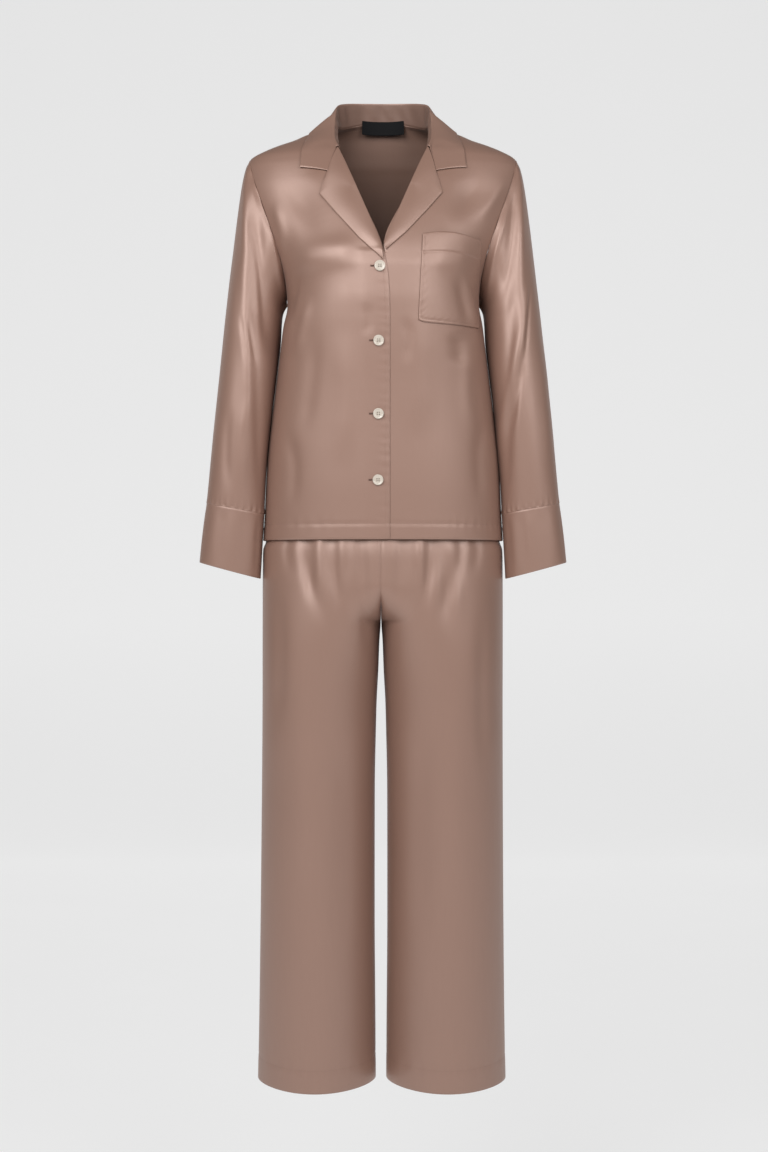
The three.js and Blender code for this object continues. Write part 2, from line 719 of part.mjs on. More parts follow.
function solid(name, points, triangles, colour) {
  let volume = 0;
  for (let k = 0; k < triangles.length; k += 3) {
    const [a, b, c] = [points[triangles[k]], points[triangles[k + 1]], points[triangles[k + 2]]];
    volume += a.dot(b.clone().cross(c)) / 6;
  }
  const order = [...triangles];
  if (volume < 0) {
    for (let k = 0; k < order.length; k += 3) {
      [order[k + 1], order[k + 2]] = [order[k + 2], order[k + 1]];
    }
  }
  const geometry = new THREE.BufferGeometry();
  const flat = points.flatMap((p) => [p.x, p.y, p.z]);
  geometry.setAttribute('position', new THREE.Float32BufferAttribute(flat, 3));
  geometry.setIndex(order);
  geometry.computeVertexNormals();
  return meshOf(name, geometry, colour);
}

function meshOf(name, geometry, colour) {
  const material = new THREE.MeshStandardMaterial({ roughness: 0.5, metalness: 0 });
  material.color.setRGB(...colour);
  const mesh = new THREE.Mesh(geometry, material);
  mesh.name = name;
  return mesh;
}

// A four-hole button that lies flat on the front beneath it.
function button(name, place) {
  const ring = (x, y, radius, count) => steps(count - 1, 0, 1 - 1 / count).map((turn) => {
    const angle = turn * Math.PI * 2;
    return new THREE.Vector2(x + radius * Math.cos(angle), y + radius * Math.sin(angle));
  });
  const shape = new THREE.Shape(ring(0, 0, BUTTON_RADIUS, 24));
  for (const [x, y] of [[-1.5, -1.5], [1.5, -1.5], [1.5, 1.5], [-1.5, 1.5]]) {
    shape.holes.push(new THREE.Path(ring(x, y, 0.85, 6)));
  }
  const geometry = new THREE.ExtrudeGeometry(shape, { depth: BUTTON_HEIGHT, bevelEnabled: false });
  const surface = (x, z) => {
    const point = shirtPoint(-1, -1, angleAt(-x, z), z);
    return new THREE.Vector3(x, point.y - lapLift(x) * ramp(-222, -230, z), z);
  };
  const seat = surface(place.x, place.z);
  const up = surface(place.x, place.z + 5).sub(surface(place.x, place.z - 5)).normalize();
  const along = surface(place.x + 5, place.z).sub(surface(place.x - 5, place.z)).normalize();
  const out = along.clone().cross(up).normalize();
  const right = up.clone().cross(out).normalize();
  const turn = new THREE.Matrix4().makeBasis(right, up, out);
  turn.setPosition(seat.addScaledVector(out, 0.5));
  geometry.applyMatrix4(turn);
  return meshOf(name, geometry, COLOURS.button);
}

const pyjamas = new THREE.Group();
pyjamas.name = 'pyjama_set';
pyjamas.add(wallMesh('front_right', frontPanel(-1), COLOURS.cloth));
pyjamas.add(wallMesh('front_left', frontPanel(1), COLOURS.cloth));
pyjamas.add(wallMesh('back', backPanel(), COLOURS.cloth));
pyjamas.add(wallMesh('sleeve_right', sleeve(-1), COLOURS.cloth));
pyjamas.add(wallMesh('sleeve_left', sleeve(1), COLOURS.cloth));
pyjamas.add(wallMesh('cuff_right', cuff(-1), COLOURS.cloth));
pyjamas.add(wallMesh('cuff_left', cuff(1), COLOURS.cloth));
pyjamas.add(wallMesh('collar', collar(), COLOURS.inside));
pyjamas.add(wallMesh('lapel_right', lapel(-1), COLOURS.cloth));
pyjamas.add(wallMesh('lapel_left', lapel(1), COLOURS.cloth));
pyjamas.add(wallMesh('pocket', pocket(), COLOURS.cloth));
pyjamas.add(wallMesh('neck_label', neckLabel(), COLOURS.label));
BUTTONS.forEach((place, i) => pyjamas.add(button(`button_${i + 1}`, place)));
pyjamas.add(wallMesh('trouser_front_right', trouserPanel(-1, -1), COLOURS.cloth));
pyjamas.add(wallMesh('trouser_front_left', trouserPanel(1, -1), COLOURS.cloth));
pyjamas.add(wallMesh('trouser_back_right', trouserPanel(-1, 1), COLOURS.cloth));
pyjamas.add(wallMesh('trouser_back_left', trouserPanel(1, 1), COLOURS.cloth));
pyjamas.add(wallMesh('waistband', waistband(), COLOURS.cloth));

export default pyjamas;
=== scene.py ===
"""Looks of a satin pyjama set: a long-sleeved shirt with a notched collar, over wide trousers.

Every form is worked out in millimetres in the part's own frame, as the solids are, and is made in
metres. Z is up, the front faces -Y, and the wearer's right hand is at -X.
"""

import logging
import math
from dataclasses import dataclass, field
from enum import Enum
from typing import Sequence

import bpy
import numpy as np
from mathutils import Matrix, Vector


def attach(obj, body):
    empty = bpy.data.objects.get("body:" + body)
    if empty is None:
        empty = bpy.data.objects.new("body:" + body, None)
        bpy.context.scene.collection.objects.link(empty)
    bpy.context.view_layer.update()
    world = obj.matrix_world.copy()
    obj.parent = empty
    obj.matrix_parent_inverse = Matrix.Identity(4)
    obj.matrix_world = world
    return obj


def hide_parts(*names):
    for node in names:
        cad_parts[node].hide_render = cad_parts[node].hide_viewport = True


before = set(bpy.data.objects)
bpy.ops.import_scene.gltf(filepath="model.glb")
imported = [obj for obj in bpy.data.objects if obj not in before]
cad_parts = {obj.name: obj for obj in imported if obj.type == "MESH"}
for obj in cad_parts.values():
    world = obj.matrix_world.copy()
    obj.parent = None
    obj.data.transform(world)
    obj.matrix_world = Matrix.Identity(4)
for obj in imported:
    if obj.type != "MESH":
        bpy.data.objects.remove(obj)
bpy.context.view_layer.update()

LOG = logging.getLogger("pyjamas")
Grid = np.ndarray

MM = 0.001
WALL = 1.3
LAPEL_WALL = 0.9
LABEL_WALL = 0.8
BAND_WALL = 2.0
SEAM_GAP = 0.3
LAP = WALL + 0.35
HEM_Z = -637.0
UNDERARM_Z = -286.2
SHOULDER_TIP_Z = -69.0
NECK_SIDE_Z = -14.0
FRONT_TOP_Z = -18.5
BACK_NECK_RISE = 22.0
BACK_RISE_START_Z = -62.0
LAP_EDGE_X = (-44.0, -24.0)
BREAK_Z = (-222.0, -230.0)
PLACKET_TOP_Z = -236.0
PLACKET_STITCH = 6.5
SHOULDER_SEARCH_LOW_Z = -130.0
SEARCH_STEPS = 34
STEEPEST = 2.4
STITCH_LINE = 400
TROUSER_CENTRE_X = -3.0
TROUSER_SIDE_SHIFT = (2.6, 1.2)
SLEEVE_RINGS = 9
CUFF_RINGS = 2
SHOULDER_PART = 4
NOTCH_PART = 7
LAPEL_PARTS = 5
BAND_TOP_Z = -456.0
BAND_BOTTOM_Z = -490.0
CROTCH_Z = -757.0
TROUSER_HEM_Z = -1439.0


class Face(Enum):
    """Which way a piece of cloth looks."""

    FRONT = -1
    BACK = 1


class Side(Enum):
    """The wearer's right and left."""

    RIGHT = -1
    LEFT = 1

    @property
    def word(self) -> str:
        """The side's name as the solids' names have it."""
        return self.name.lower()


class Curve:
    """A smooth curve through given points that does not overshoot between them."""

    def __init__(self, xs: Sequence[float], ys: Sequence[float]) -> None:
        """Works out the slope at each given point.

        Args:
            xs: Rising places.
            ys: The value at each place.
        """
        self.xs = np.asarray(xs, float)
        self.ys = np.asarray(ys, float)
        step = np.diff(self.xs)
        rise = np.diff(self.ys) / step
        slopes = np.zeros(len(self.xs))
        slopes[0], slopes[-1] = rise[0], rise[-1]
        for i in range(1, len(self.xs) - 1):
            if rise[i - 1] * rise[i] > 0:
                mean = (rise[i - 1] * step[i] + rise[i] * step[i - 1]) / (step[i] + step[i - 1])
                most = 3 * min(abs(rise[i - 1]), abs(rise[i]))
                slopes[i] = math.copysign(min(abs(mean), most), mean)
        self.slopes = slopes

    def __call__(self, value: Grid) -> Grid:
        """The curve's value at each given place."""
        x = np.clip(value, self.xs[0], self.xs[-1])
        i = np.clip(np.searchsorted(self.xs, x, side="left") - 1, 0, len(self.xs) - 2)
        span = self.xs[i + 1] - self.xs[i]
        t = (x - self.xs[i]) / span
        start = (1 + 2 * t) * (1 - t) ** 2 * self.ys[i] + t * (1 - t) ** 2 * span * self.slopes[i]
        end = t * t * (3 - 2 * t) * self.ys[i + 1] + t * t * (t - 1) * span * self.slopes[i + 1]
        return start + end


class Table:
    """A short table with named columns, read as smooth curves of its first column."""

    def __init__(self, names: str, rows: Sequence[Sequence[float]]) -> None:
        """Sorts the rows and makes one curve for each column.

        Args:
            names: The columns' names in order, the first one's included.
            rows: One row for each section.
        """
        ordered = sorted(rows)
        at = [row[0] for row in ordered]
        self._curves = {
            name: Curve(at, [row[k + 1] for row in ordered])
            for k, name in enumerate(names.split()[1:])
        }

    def __call__(self, name: str, at: Grid) -> Grid:
        """The named column at each given place."""
        return self._curves[name](at)


SHIRT = Table(
    "z side front back square",
    [
        (-640, 179.2, 117.5, 121.5, 2.3),
        (-601, 177, 118.5, 119.5, 2.3),
        (-560, 175.3, 120, 116.5, 2.3),
        (-511, 172.3, 121.5, 110, 2.3),
        (-481, 169.2, 122.5, 106, 2.3),
        (-418, 161.5, 126, 101, 2.32),
        (-352, 153, 132, 101.5, 2.36),
        (-318, 148.7, 135, 104, 2.4),
        (-286, 143.3, 137, 108, 2.42),
        (-250, 148.4, 137, 112, 2.4),
        (-228, 157.5, 133.5, 114, 2.36),
        (-173, 187, 115, 113, 2.3),
        (-133, 202, 98, 108, 2.25),
        (-108, 206.5, 86.5, 103, 2.25),
        (-84, 206.5, 72.5, 96.5, 2.25),
        (-75, 203.5, 67, 93.5, 2.25),
        (-66, 196.5, 61.5, 90.5, 2.25),
        (-57, 180.5, 53, 87, 2.25),
        (-48, 160, 42.5, 84, 2.25),
        (-39, 135, 32, 80.5, 2.25),
        (-30, 115.5, 22, 77, 2.25),
        (-22, 92.5, 13, 73.5, 2.2),
        (-14, 68, 6, 69.5, 2.2),
    ],
)
ARMHOLE = Table(
    "z x",
    [
        (-286.2, 143.3),
        (-250, 145.3),
        (-228, 149.8),
        (-173, 167),
        (-133, 181),
        (-108, 189.5),
        (-84, 196),
        (-69, 199.2),
    ],
)
RIGHT_EDGE = Table(
    "z x",
    [
        (-640, 9.6),
        (-350, 9.6),
        (-262, 7),
        (-240, 3.4),
        (-222, -1),
        (-142, -33.5),
        (-62.7, -65.2),
        (-48.5, -67.2),
        (-31, -68.8),
        (-14, -68),
    ],
)
LEFT_EDGE = Table(
    "z x",
    [
        (-640, -19),
        (-262, -19),
        (-240, -10),
        (-230, 2.7),
        (-222, 1.5),
        (-142, 32.5),
        (-62.7, 65.2),
        (-48.5, 67.2),
        (-31, 68.8),
        (-14, 68),
    ],
)
SLEEVE = Table(
    "ring out_x out_z in_x in_z mid half",
    [
        (0, 199.8, -69.5, 144, -286.6, 0, 60),
        (1, 206, -84, 147.8, -293, 0, 63.5),
        (2, 212, -113, 150.6, -301, 0, 65.5),
        (3, 219, -165, 152, -316, -0.5, 67),
        (4, 227.3, -235, 153.6, -345, -1.5, 66.5),
        (5, 235.6, -315, 158.9, -395, -11, 63),
        (6, 243.8, -400, 165.3, -452, -18, 57.5),
        (7, 251.8, -480, 172, -520, -23, 50.5),
        (8, 259.2, -560, 175.2, -580, -26, 43.5),
        (9, 261.4, -583, 175.8, -598.5, -27, 41),
    ],
)
CUFF = Table(
    "ring out_x out_z in_x in_z mid half",
    [
        (0, 261.4, -583.4, 175.8, -598.9, -27, 41),
        (1, 266.9, -626, 178.8, -646.5, -28, 38.8),
        (2, 271.6, -669.5, 181.2, -693.5, -29, 36),
    ],
)
COLLAR = Table(
    "part neck_x neck_z fold_x fold_y fold_z edge_x edge_z loft",
    [
        (0, 0, -14, 0, 66, 37.4, 0, -45, 3),
        (1, 30, -14, 31, 59.5, 35.8, 45, -44, 3),
        (2, 52.5, -14, 54.5, 41.5, 30.4, 83, -39.5, 3),
        (3, 63.6, -14, 67.8, 23, 22.4, 100, -33, 1.4),
        (4, 68, -14, 71.4, 4, 7, 107.5, -28.6, 0.6),
        (5, 68, -31, 72.8, -16, -16.5, 112, -41, 1.4),
        (6, 68, -48.5, 72.2, -39, -40, 117.8, -62, 2.4),
        (7, 68, -62.7, 66.2, -60.5, -59.6, 121.2, -95, 1.5),
    ],
)
NOTCH = {Side.RIGHT: (80.4, -102.9), Side.LEFT: (76.8, -102.6)}
LAPEL = {
    Side.LEFT: (
        (0, 65.6, -61.6, 76.8, -103.4),
        (1, 56, -84, 81, -119),
        (2, 47.5, -105, 85.3, -137.2),
        (3, 33, -140.5, 62.5, -166),
        (4, 17.5, -178.5, 31.5, -202),
        (5, 1.2, -216.5, 4.2, -227.5),
    ),
    Side.RIGHT: (
        (0, -66.4, -61.6, -80.8, -104),
        (1, -57, -84, -86.3, -120),
        (2, -48.5, -105, -91.6, -139.2),
        (3, -33.5, -142, -66, -171.5),
        (4, -18, -180, -33.5, -210),
        (5, -3, -217, 0.5, -243),
    ),
}
POCKET = Table(
    "across top_x top_z low_x low_z",
    [
        (0, 57, -203.5, 50.5, -326),
        (0.08, 64, -202.2, 57.5, -328.5),
        (0.5, 98, -199.8, 95, -329.6),
        (1, 140.6, -204.6, 138.6, -328.8),
    ],
)
BUTTON_PLACES = ((-4.4, -251.3), (-6.1, -356.0), (-6.5, -459.0), (-7.1, -553.0))
HIPS = Table(
    "z side front back square",
    [
        (-456, 143, 97, 93, 2.2),
        (-490, 150, 102, 97.5, 2.2),
        (-530, 159.5, 106.5, 103.5, 2.25),
        (-570, 167, 109.5, 109, 2.3),
        (-605, 171, 111, 112, 2.3),
        (-632, 173.6, 112.2, 114.4, 2.3),
        (-640, 175, 112.8, 115.2, 2.3),
        (-650, 178.8, 114.4, 116.6, 2.3),
        (-670, 179.4, 115.5, 118, 2.3),
        (-921, 179.8, 116, 119, 2.3),
        (-1010, 180.4, 116, 119, 2.3),
        (-1190, 181.8, 116, 119, 2.3),
        (-1371, 184, 116, 119, 2.3),
        (-1439, 185.2, 116, 119, 2.3),
    ],
)
LEG = Table(
    "z inner front back square pinch",
    [
        (-640, 0.2, 113, 117, 2.2, 0),
        (-757, 0.4, 110, 116, 2.2, 0),
        (-785, 2.2, 108.5, 114, 2.2, 0),
        (-831, 4, 106, 110, 2.15, 0),
        (-876, 6.4, 103.5, 107, 2.1, 0),
        (-921, 7.6, 101, 104, 2.1, 0),
        (-1010, 9.2, 97.5, 100, 2, 0.02),
        (-1190, 9.4, 92, 95, 2, 0.07),
        (-1371, 8.2, 88.5, 91, 2, 0.12),
        (-1439, 8, 88, 90, 2, 0.15),
    ],
)


def ramp(start: float, end: float, value: Grid) -> Grid:
    """Rises smoothly from 0 at start to 1 at end, or falls if end is the lower."""
    t = np.clip((value - start) / (end - start), 0, 1)
    return t * t * (3 - 2 * t)


def mix(a: Grid, b: Grid, t: Grid) -> Grid:
    """The value between a and b at the share t."""
    return a + (b - a) * t


def power(value: Grid, exponent: Grid) -> Grid:
    """Raises the size of a value to a power and keeps its sign."""
    return np.sign(value) * np.abs(value) ** exponent


def stacked(x: Grid, y: Grid, z: Grid) -> Grid:
    """Joins three coordinates to an array of points."""
    return np.stack(np.broadcast_arrays(x, y, z), axis=-1).astype(float)


def unit(vectors: Grid) -> Grid:
    """The same directions with a length of one."""
    return vectors / np.maximum(np.linalg.norm(vectors, axis=-1, keepdims=True), 1e-9)


def uneven(along: Grid, pitch: float, seed: int) -> Grid:
    """A smooth uneven line from about -1 to 1, the same for the same seed.

    Args:
        along: Places on the line.
        pitch: About how far apart its peaks and dips are.
        seed: Which line it is.

    Returns:
        The line's value at each place.
    """
    rng = np.random.default_rng(seed)
    low, high = float(np.min(along)) - 2 * pitch, float(np.max(along)) + 2 * pitch
    knots = low + np.cumsum(rng.uniform(0.55, 1.45, int((high - low) / pitch * 2) + 6)) * pitch * 0.5
    heights = rng.uniform(0.35, 1.0, len(knots)) * np.where(np.arange(len(knots)) % 2, 1, -1)
    return Curve(knots, heights)(along)


def near(distance: Grid, reach: float) -> Grid:
    """1 on a line, dying away smoothly to both sides over the reach."""
    return np.exp(-((distance / reach) ** 2))


def half_depth(face: Grid, z: Grid) -> Grid:
    """How far the shirt's face stands off the middle plane, at the front or the back."""
    return np.where(np.asarray(face) < 0, SHIRT("front", z), SHIRT("back", z))


def neck_rise(face: Grid, angle: Grid, z: Grid) -> Grid:
    """How far the back's top is drawn up towards the middle of the neck."""
    rise = BACK_NECK_RISE * ramp(BACK_RISE_START_Z, NECK_SIDE_Z, z) * np.sin(angle) ** 2
    return np.where(np.asarray(face) > 0, rise, 0)


def shirt_point(side: float, face: Grid, angle: Grid, z: Grid, out: float = 0.0) -> Grid:
    """A point on the shirt's body.

    Args:
        side: -1 on the wearer's right and 1 on the left.
        face: -1 at the front and 1 at the back.
        angle: 0 at the side and a right angle at the middle.
        z: The height.
        out: How far the section is made larger.

    Returns:
        Points in millimetres.
    """
    bend = 2 / SHIRT("square", z)
    x = side * (SHIRT("side", z) + out) * power(np.cos(angle), bend)
    y = face * (half_depth(face, z) + out) * power(np.sin(angle), bend)
    return stacked(x, y, z + neck_rise(face, angle, z))


def angle_at(distance: Grid, z: Grid) -> Grid:
    """The angle at which the shirt's body is a given distance from the middle."""
    share = np.clip(distance / SHIRT("side", z), -1, 1)
    return np.arccos(power(share, SHIRT("square", z) / 2))


def side_angle(face: Grid, z: Grid) -> Grid:
    """The angle of the edge at the side: the side seam, the armhole or the shoulder seam."""
    seam = np.arcsin((SEAM_GAP / 2 / half_depth(face, z)) ** (SHIRT("square", z) / 2))
    open_edge = (z > UNDERARM_Z) & (z < SHOULDER_TIP_Z)
    return np.where(open_edge, np.maximum(seam, angle_at(ARMHOLE("x", z), z)), seam)


def lap_lift(x: Grid, z: Grid) -> Grid:
    """How far the front that lies on top is lifted off the one beneath."""
    return LAP * ramp(*LAP_EDGE_X, x) * ramp(*BREAK_Z, z)


def off_shirt(side: float, face: Grid, angle: Grid, z: Grid, out: Grid) -> Grid:
    """A point held a given distance off the face of the shirt."""
    step = 1e-3
    along = shirt_point(side, face, angle + step, z) - shirt_point(side, face, angle - step, z)
    up = shirt_point(side, face, angle, z + 0.5) - shirt_point(side, face, angle, z - 0.5)
    normal = unit(np.cross(along, up))
    point = shirt_point(side, face, angle, z)
    away = point * np.array([1, 1, 0])
    sign = np.sign(np.sum(normal * away, axis=-1, keepdims=True))
    return point + normal * sign * np.asarray(out, float)[..., None]


def shoulder_height(x: Grid, y: Grid) -> Grid:
    """The height of the shirt's shoulder above a point in plan."""
    low, high = np.full(x.shape, SHOULDER_SEARCH_LOW_Z), np.full(x.shape, NECK_SIDE_Z)
    for _ in range(SEARCH_STEPS):
        z = (low + high) / 2
        n = SHIRT("square", z)
        inside = np.abs(x / SHIRT("side", z)) ** n + np.abs(y / half_depth(y, z)) ** n < 1
        low, high = np.where(inside, z, low), np.where(inside, high, z)
    z = (low + high) / 2
    return z + neck_rise(y, angle_at(np.abs(x), z), z)


def resting_height(x: Grid, y: Grid, clear: float) -> Grid:
    """The lowest that cloth may lie over a point in plan when it clears the shirt."""
    height = shoulder_height(x, y)
    slope_x = shoulder_height(x + 1, y) - height
    slope_y = shoulder_height(x, y + np.where(y < 0, -1, 1)) - height
    return height + clear * np.minimum(np.sqrt(1 + slope_x**2 + slope_y**2), STEEPEST)


@dataclass(frozen=True)
class Crease:
    """One soft ridge or trough, seen straight from the front or the back.

    Its path is points (x, z), its width the reach to each side, and its height is below zero for
    a trough. fade is the share of its length over which each end dies away.
    """

    path: tuple[tuple[float, float], ...]
    width: float
    height: float
    face: Face = Face.FRONT
    fade: float = 0.35

    def line(self) -> Grid:
        """The path as a smooth line of close points."""
        given = np.array(self.path, float)
        if len(given) < 3:
            return given
        at = np.arange(len(given))
        fine = np.linspace(0, len(given) - 1, 4 * len(given))
        return np.stack([Curve(at, given[:, k])(fine) for k in (0, 1)], axis=-1)

    def relief(self, points: Grid) -> Grid:
        """How far the crease moves each point out of the cloth's face.

        Args:
            points: Points in millimetres.

        Returns:
            One distance for each point.
        """
        line = self.line()
        spans = np.linalg.norm(np.diff(line, axis=0), axis=1)
        starts = np.concatenate([[0], np.cumsum(spans)])
        plan = points[..., [0, 2]]
        best = np.full(plan.shape[:-1], 1e9)
        along = np.zeros(plan.shape[:-1])
        for k, span in enumerate(spans):
            way = (line[k + 1] - line[k]) / span
            t = np.clip((plan - line[k]) @ way, 0, span)
            far = np.linalg.norm(plan - (line[k] + t[..., None] * way), axis=-1)
            nearer = far < best
            best = np.where(nearer, far, best)
            along = np.where(nearer, starts[k] + t, along)
        share = along / starts[-1]
        ends = ramp(0, self.fade, share) * ramp(1, 1 - self.fade, share)
        seen = ramp(-4, 14, self.face.value * points[..., 1])
        return self.height * near(best, self.width) * ends * seen


def relief_of(points: Grid, creases: Sequence[Crease]) -> Grid:
    """The sum of what several creases do to each point."""
    total = np.zeros(points.shape[:-1])
    for crease in creases:
        total += crease.relief(points)
    return total


CHEST_CREASES = (
    Crease(((-156, -84), (-130, -128), (-110, -172), (-100, -222)), 24, -5.5, fade=0.5),
    Crease(((-160, -140), (-149, -184), (-143, -226)), 8, 2.6),
    Crease(((-142, -244), (-104, -233), (-66, -228), (-20, -226)), 20, 5.0),
    Crease(((-107, -284), (-116, -330), (-128, -380)), 8, 2.6),
    Crease(((-121, -242), (-132, -285), (-141, -330)), 8, -3.2),
    Crease(((-96, -330), (-104, -420), (-118, -500)), 12, -2.2),
    Crease(((186, -96), (161, -140), (134, -186)), 9, 2.6, fade=0.45),
    Crease(((152, -90), (126, -136), (98, -184)), 18, -4.6, fade=0.5),
    Crease(((62, -226), (96, -231), (134, -240)), 22, 2.4),
    Crease(((116, -250), (127, -294), (137, -336)), 6.5, 2.4),
    Crease(((106, -258), (117, -300), (126, -340)), 7.5, -2.4),
    Crease(((104, -338), (111, -362), (112, -392)), 13, -3.0),
    Crease(((128, -330), (122, -420), (134, -510)), 11, 2.2),
    Crease(((50, -300), (54, -400), (46, -500)), 18, 1.6),
    Crease(((-58, -330), (-50, -430), (-60, -540)), 18, 1.8),
    Crease(((-24, -300), (-20, -330), (-26, -352)), 6, -1.2),
    Crease(((28, -318), (36, -350), (33, -392)), 7, -1.3),
    Crease(((-140, -470), (-128, -540), (-134, -600)), 9, -2.2),
    Crease(((146, -452), (139, -520), (143, -596)), 9, -2.2),
)
BACK_CREASES = (
    Crease(((-122, -128), (-97, -230), (-90, -350)), 16, -4.2, Face.BACK),
    Crease(((112, -116), (99, -214), (84, -322)), 14, -3.8, Face.BACK),
    Crease(((-150, -150), (-141, -214), (-120, -300)), 8, 2.6, Face.BACK),
    Crease(((154, -140), (143, -206), (126, -276)), 8, 2.4, Face.BACK),
    Crease(((-42, -210), (-31, -400), (-44, -600)), 17, 3.0, Face.BACK),
    Crease(((60, -262), (51, -440), (63, -606)), 15, 2.6, Face.BACK),
    Crease(((4, -60), (9, -120), (0, -186)), 16, -1.8, Face.BACK),
    Crease(((-128, -410), (-110, -500), (-114, -610)), 10, -3.0, Face.BACK),
    Crease(((118, -380), (124, -480), (114, -588)), 11, -2.8, Face.BACK),
    Crease(((14, -330), (6, -440), (12, -560)), 12, -1.8, Face.BACK),
)


class Shell:
    """A thin closed wall of cloth, made from a grid of points on its outer face."""

    def __init__(self, name: str, points: Grid, wall: float = WALL, closed: bool = False) -> None:
        """Keeps the grid and works out which way is outwards.

        Args:
            name: The piece's name.
            points: Rows x columns x 3, in millimetres.
            wall: The cloth's thickness.
            closed: Whether the last column meets the first, as on a sleeve.
        """
        self.name = name
        self.points = points
        self.wall = wall
        self.closed = closed
        self.turn = 1.0
        # Outer faces that take the darker reverse finish, partly painted shade.
        self.reverse = np.zeros(points.shape[:2], bool)

    def facing(self, row: int, column: int, way: Sequence[float]) -> "Shell":
        """Turns the face so that it looks a given way at one of its points."""
        if float(np.dot(self.normals()[row, column], way)) < 0:
            self.turn = -self.turn
        return self

    def normals(self) -> Grid:
        """The outward direction at each point."""
        if self.closed:
            across = np.roll(self.points, -1, axis=1) - np.roll(self.points, 1, axis=1)
        else:
            across = np.gradient(self.points, axis=1)
        up = np.gradient(self.points, axis=0)
        return unit(np.cross(across, up)) * self.turn

    def raised(self, relief: Grid) -> "Shell":
        """Moves each point out of the face by its own distance."""
        self.points = self.points + self.normals() * relief[..., None]
        return self

    def sampled(self, rows: Grid, columns: Grid, out: float = 0.0) -> tuple[Grid, Grid]:
        """Points and directions between the grid's own.

        Args:
            rows: Places down the grid, from 0 to 1.
            columns: Places across the grid, from 0 to 1.
            out: How far off the face the points are held.

        Returns:
            The points and the outward directions.
        """
        tall, wide = self.points.shape[:2]
        r = np.clip(rows, 0, 1) * (tall - 1)
        c = columns * (wide if self.closed else wide - 1)
        r0 = np.minimum(r.astype(int), tall - 2)
        c0 = c.astype(int) if self.closed else np.minimum(c.astype(int), wide - 2)
        fr, fc = (r - r0)[:, None], (c - c0)[:, None]
        c0, c1 = c0 % wide, (c0 + 1) % wide
        found = []
        for values in (self.points, self.normals()):
            low = mix(values[r0, c0], values[r0, c1], fc)
            high = mix(values[r0 + 1, c0], values[r0 + 1, c1], fc)
            found.append(mix(low, high, fr))
        normals = unit(found[1])
        return found[0] + normals * out, normals

    def _loops(self) -> list[list[tuple[int, int, int, int]]]:
        """The cut edges as loops of (row, column, row further in, column further in)."""
        tall, wide = self.points.shape[:2]
        if self.closed:
            low = [(0, c, 1, c) for c in range(wide)]
            high = [(tall - 1, c, tall - 2, c) for c in reversed(range(wide))]
            return [low, high]
        last_row, last_column = tall - 1, wide - 1
        loop = [(0, c, 1, min(max(c, 1), last_column - 1)) for c in range(wide)]
        loop += [(r, last_column, min(r, last_row - 1), last_column - 1) for r in range(1, tall)]
        top = reversed(range(last_column))
        loop += [(last_row, c, last_row - 1, min(max(c, 1), last_column - 1)) for c in top]
        loop += [(r, 0, r, 1) for r in reversed(range(1, last_row))]
        return [loop]

    def build(self) -> bpy.types.Object:
        """Makes the wall's mesh, with rounded edges and a UV map in metres along the cloth.

        Returns:
            The new object, at the origin.
        """
        tall, wide = self.points.shape[:2]
        outer = self.points.reshape(-1, 3)
        inner = (self.points - self.normals() * self.wall).reshape(-1, 3)
        count = tall * wide
        spans = wide if self.closed else wide - 1
        rows, columns = np.divmod(np.arange((tall - 1) * spans), spans)
        following = (columns + 1) % wide
        a, b = rows * wide + columns, rows * wide + following
        d, c = a + wide, b + wide
        quads = [np.stack([a, b, c, d], 1), np.stack([d, c, b, a], 1) + count]
        full = wide + 1
        ua, ub = rows * full + columns, rows * full + columns + 1
        ud, uc = ua + full, ub + full
        marks = [np.stack([ua, ub, uc, ud], 1), np.stack([ud, uc, ub, ua], 1)]
        rim_points: list[Grid] = []
        made = 2 * count
        for loop in self._loops():
            at = np.array(loop)
            edge = at[:, 0] * wide + at[:, 1]
            out = unit(outer[edge] - outer[at[:, 2] * wide + at[:, 3]])
            rim_points.append((outer[edge] + inner[edge]) / 2 + out * self.wall * 0.4)
            n = len(loop)
            first, second = np.arange(n), (np.arange(n) + 1) % n
            middle0, middle1 = made + first, made + second
            e0, e1 = edge[first], edge[second]
            quads.append(np.stack([e1, e0, middle0, middle1], 1))
            quads.append(np.stack([middle1, middle0, e0 + count, e1 + count], 1))
            m0 = at[first, 0] * full + at[first, 1]
            m1 = at[second, 0] * full + at[second, 1]
            marks += [np.stack([m1, m0, m0, m1], 1)] * 2
            made += n
        points = np.concatenate([outer, inner, *rim_points])
        faces, marks = np.concatenate(quads), np.concatenate(marks)
        p, q, r, s = (points[faces[:, k]] for k in range(4))
        volume = np.sum(p * np.cross(q, r)) + np.sum(p * np.cross(r, s))
        if volume < 0:
            faces, marks = faces[:, ::-1], marks[:, ::-1]
        mesh = bpy.data.meshes.new(self.name)
        mesh.from_pydata((points * MM).tolist(), [], faces.tolist())
        finish = np.zeros(len(faces), np.int32)
        # Inner faces, and the marked outer faces, take the darker reverse finish: the matte back of the
        # satin, darkened further as painted shade.
        finish[: len(rows)] = self.reverse[rows, columns]
        finish[len(rows) : 2 * len(rows)] = 1
        mesh.polygons.foreach_set("material_index", finish)
        mesh.uv_layers.new(name="cloth").data.foreach_set(
            "uv", self._lay_out()[marks.ravel()].astype(np.float32).ravel()
        )
        mesh.validate()
        piece = bpy.data.objects.new(self.name, mesh)
        bpy.context.scene.collection.objects.link(piece)
        smooth(piece)
        return piece

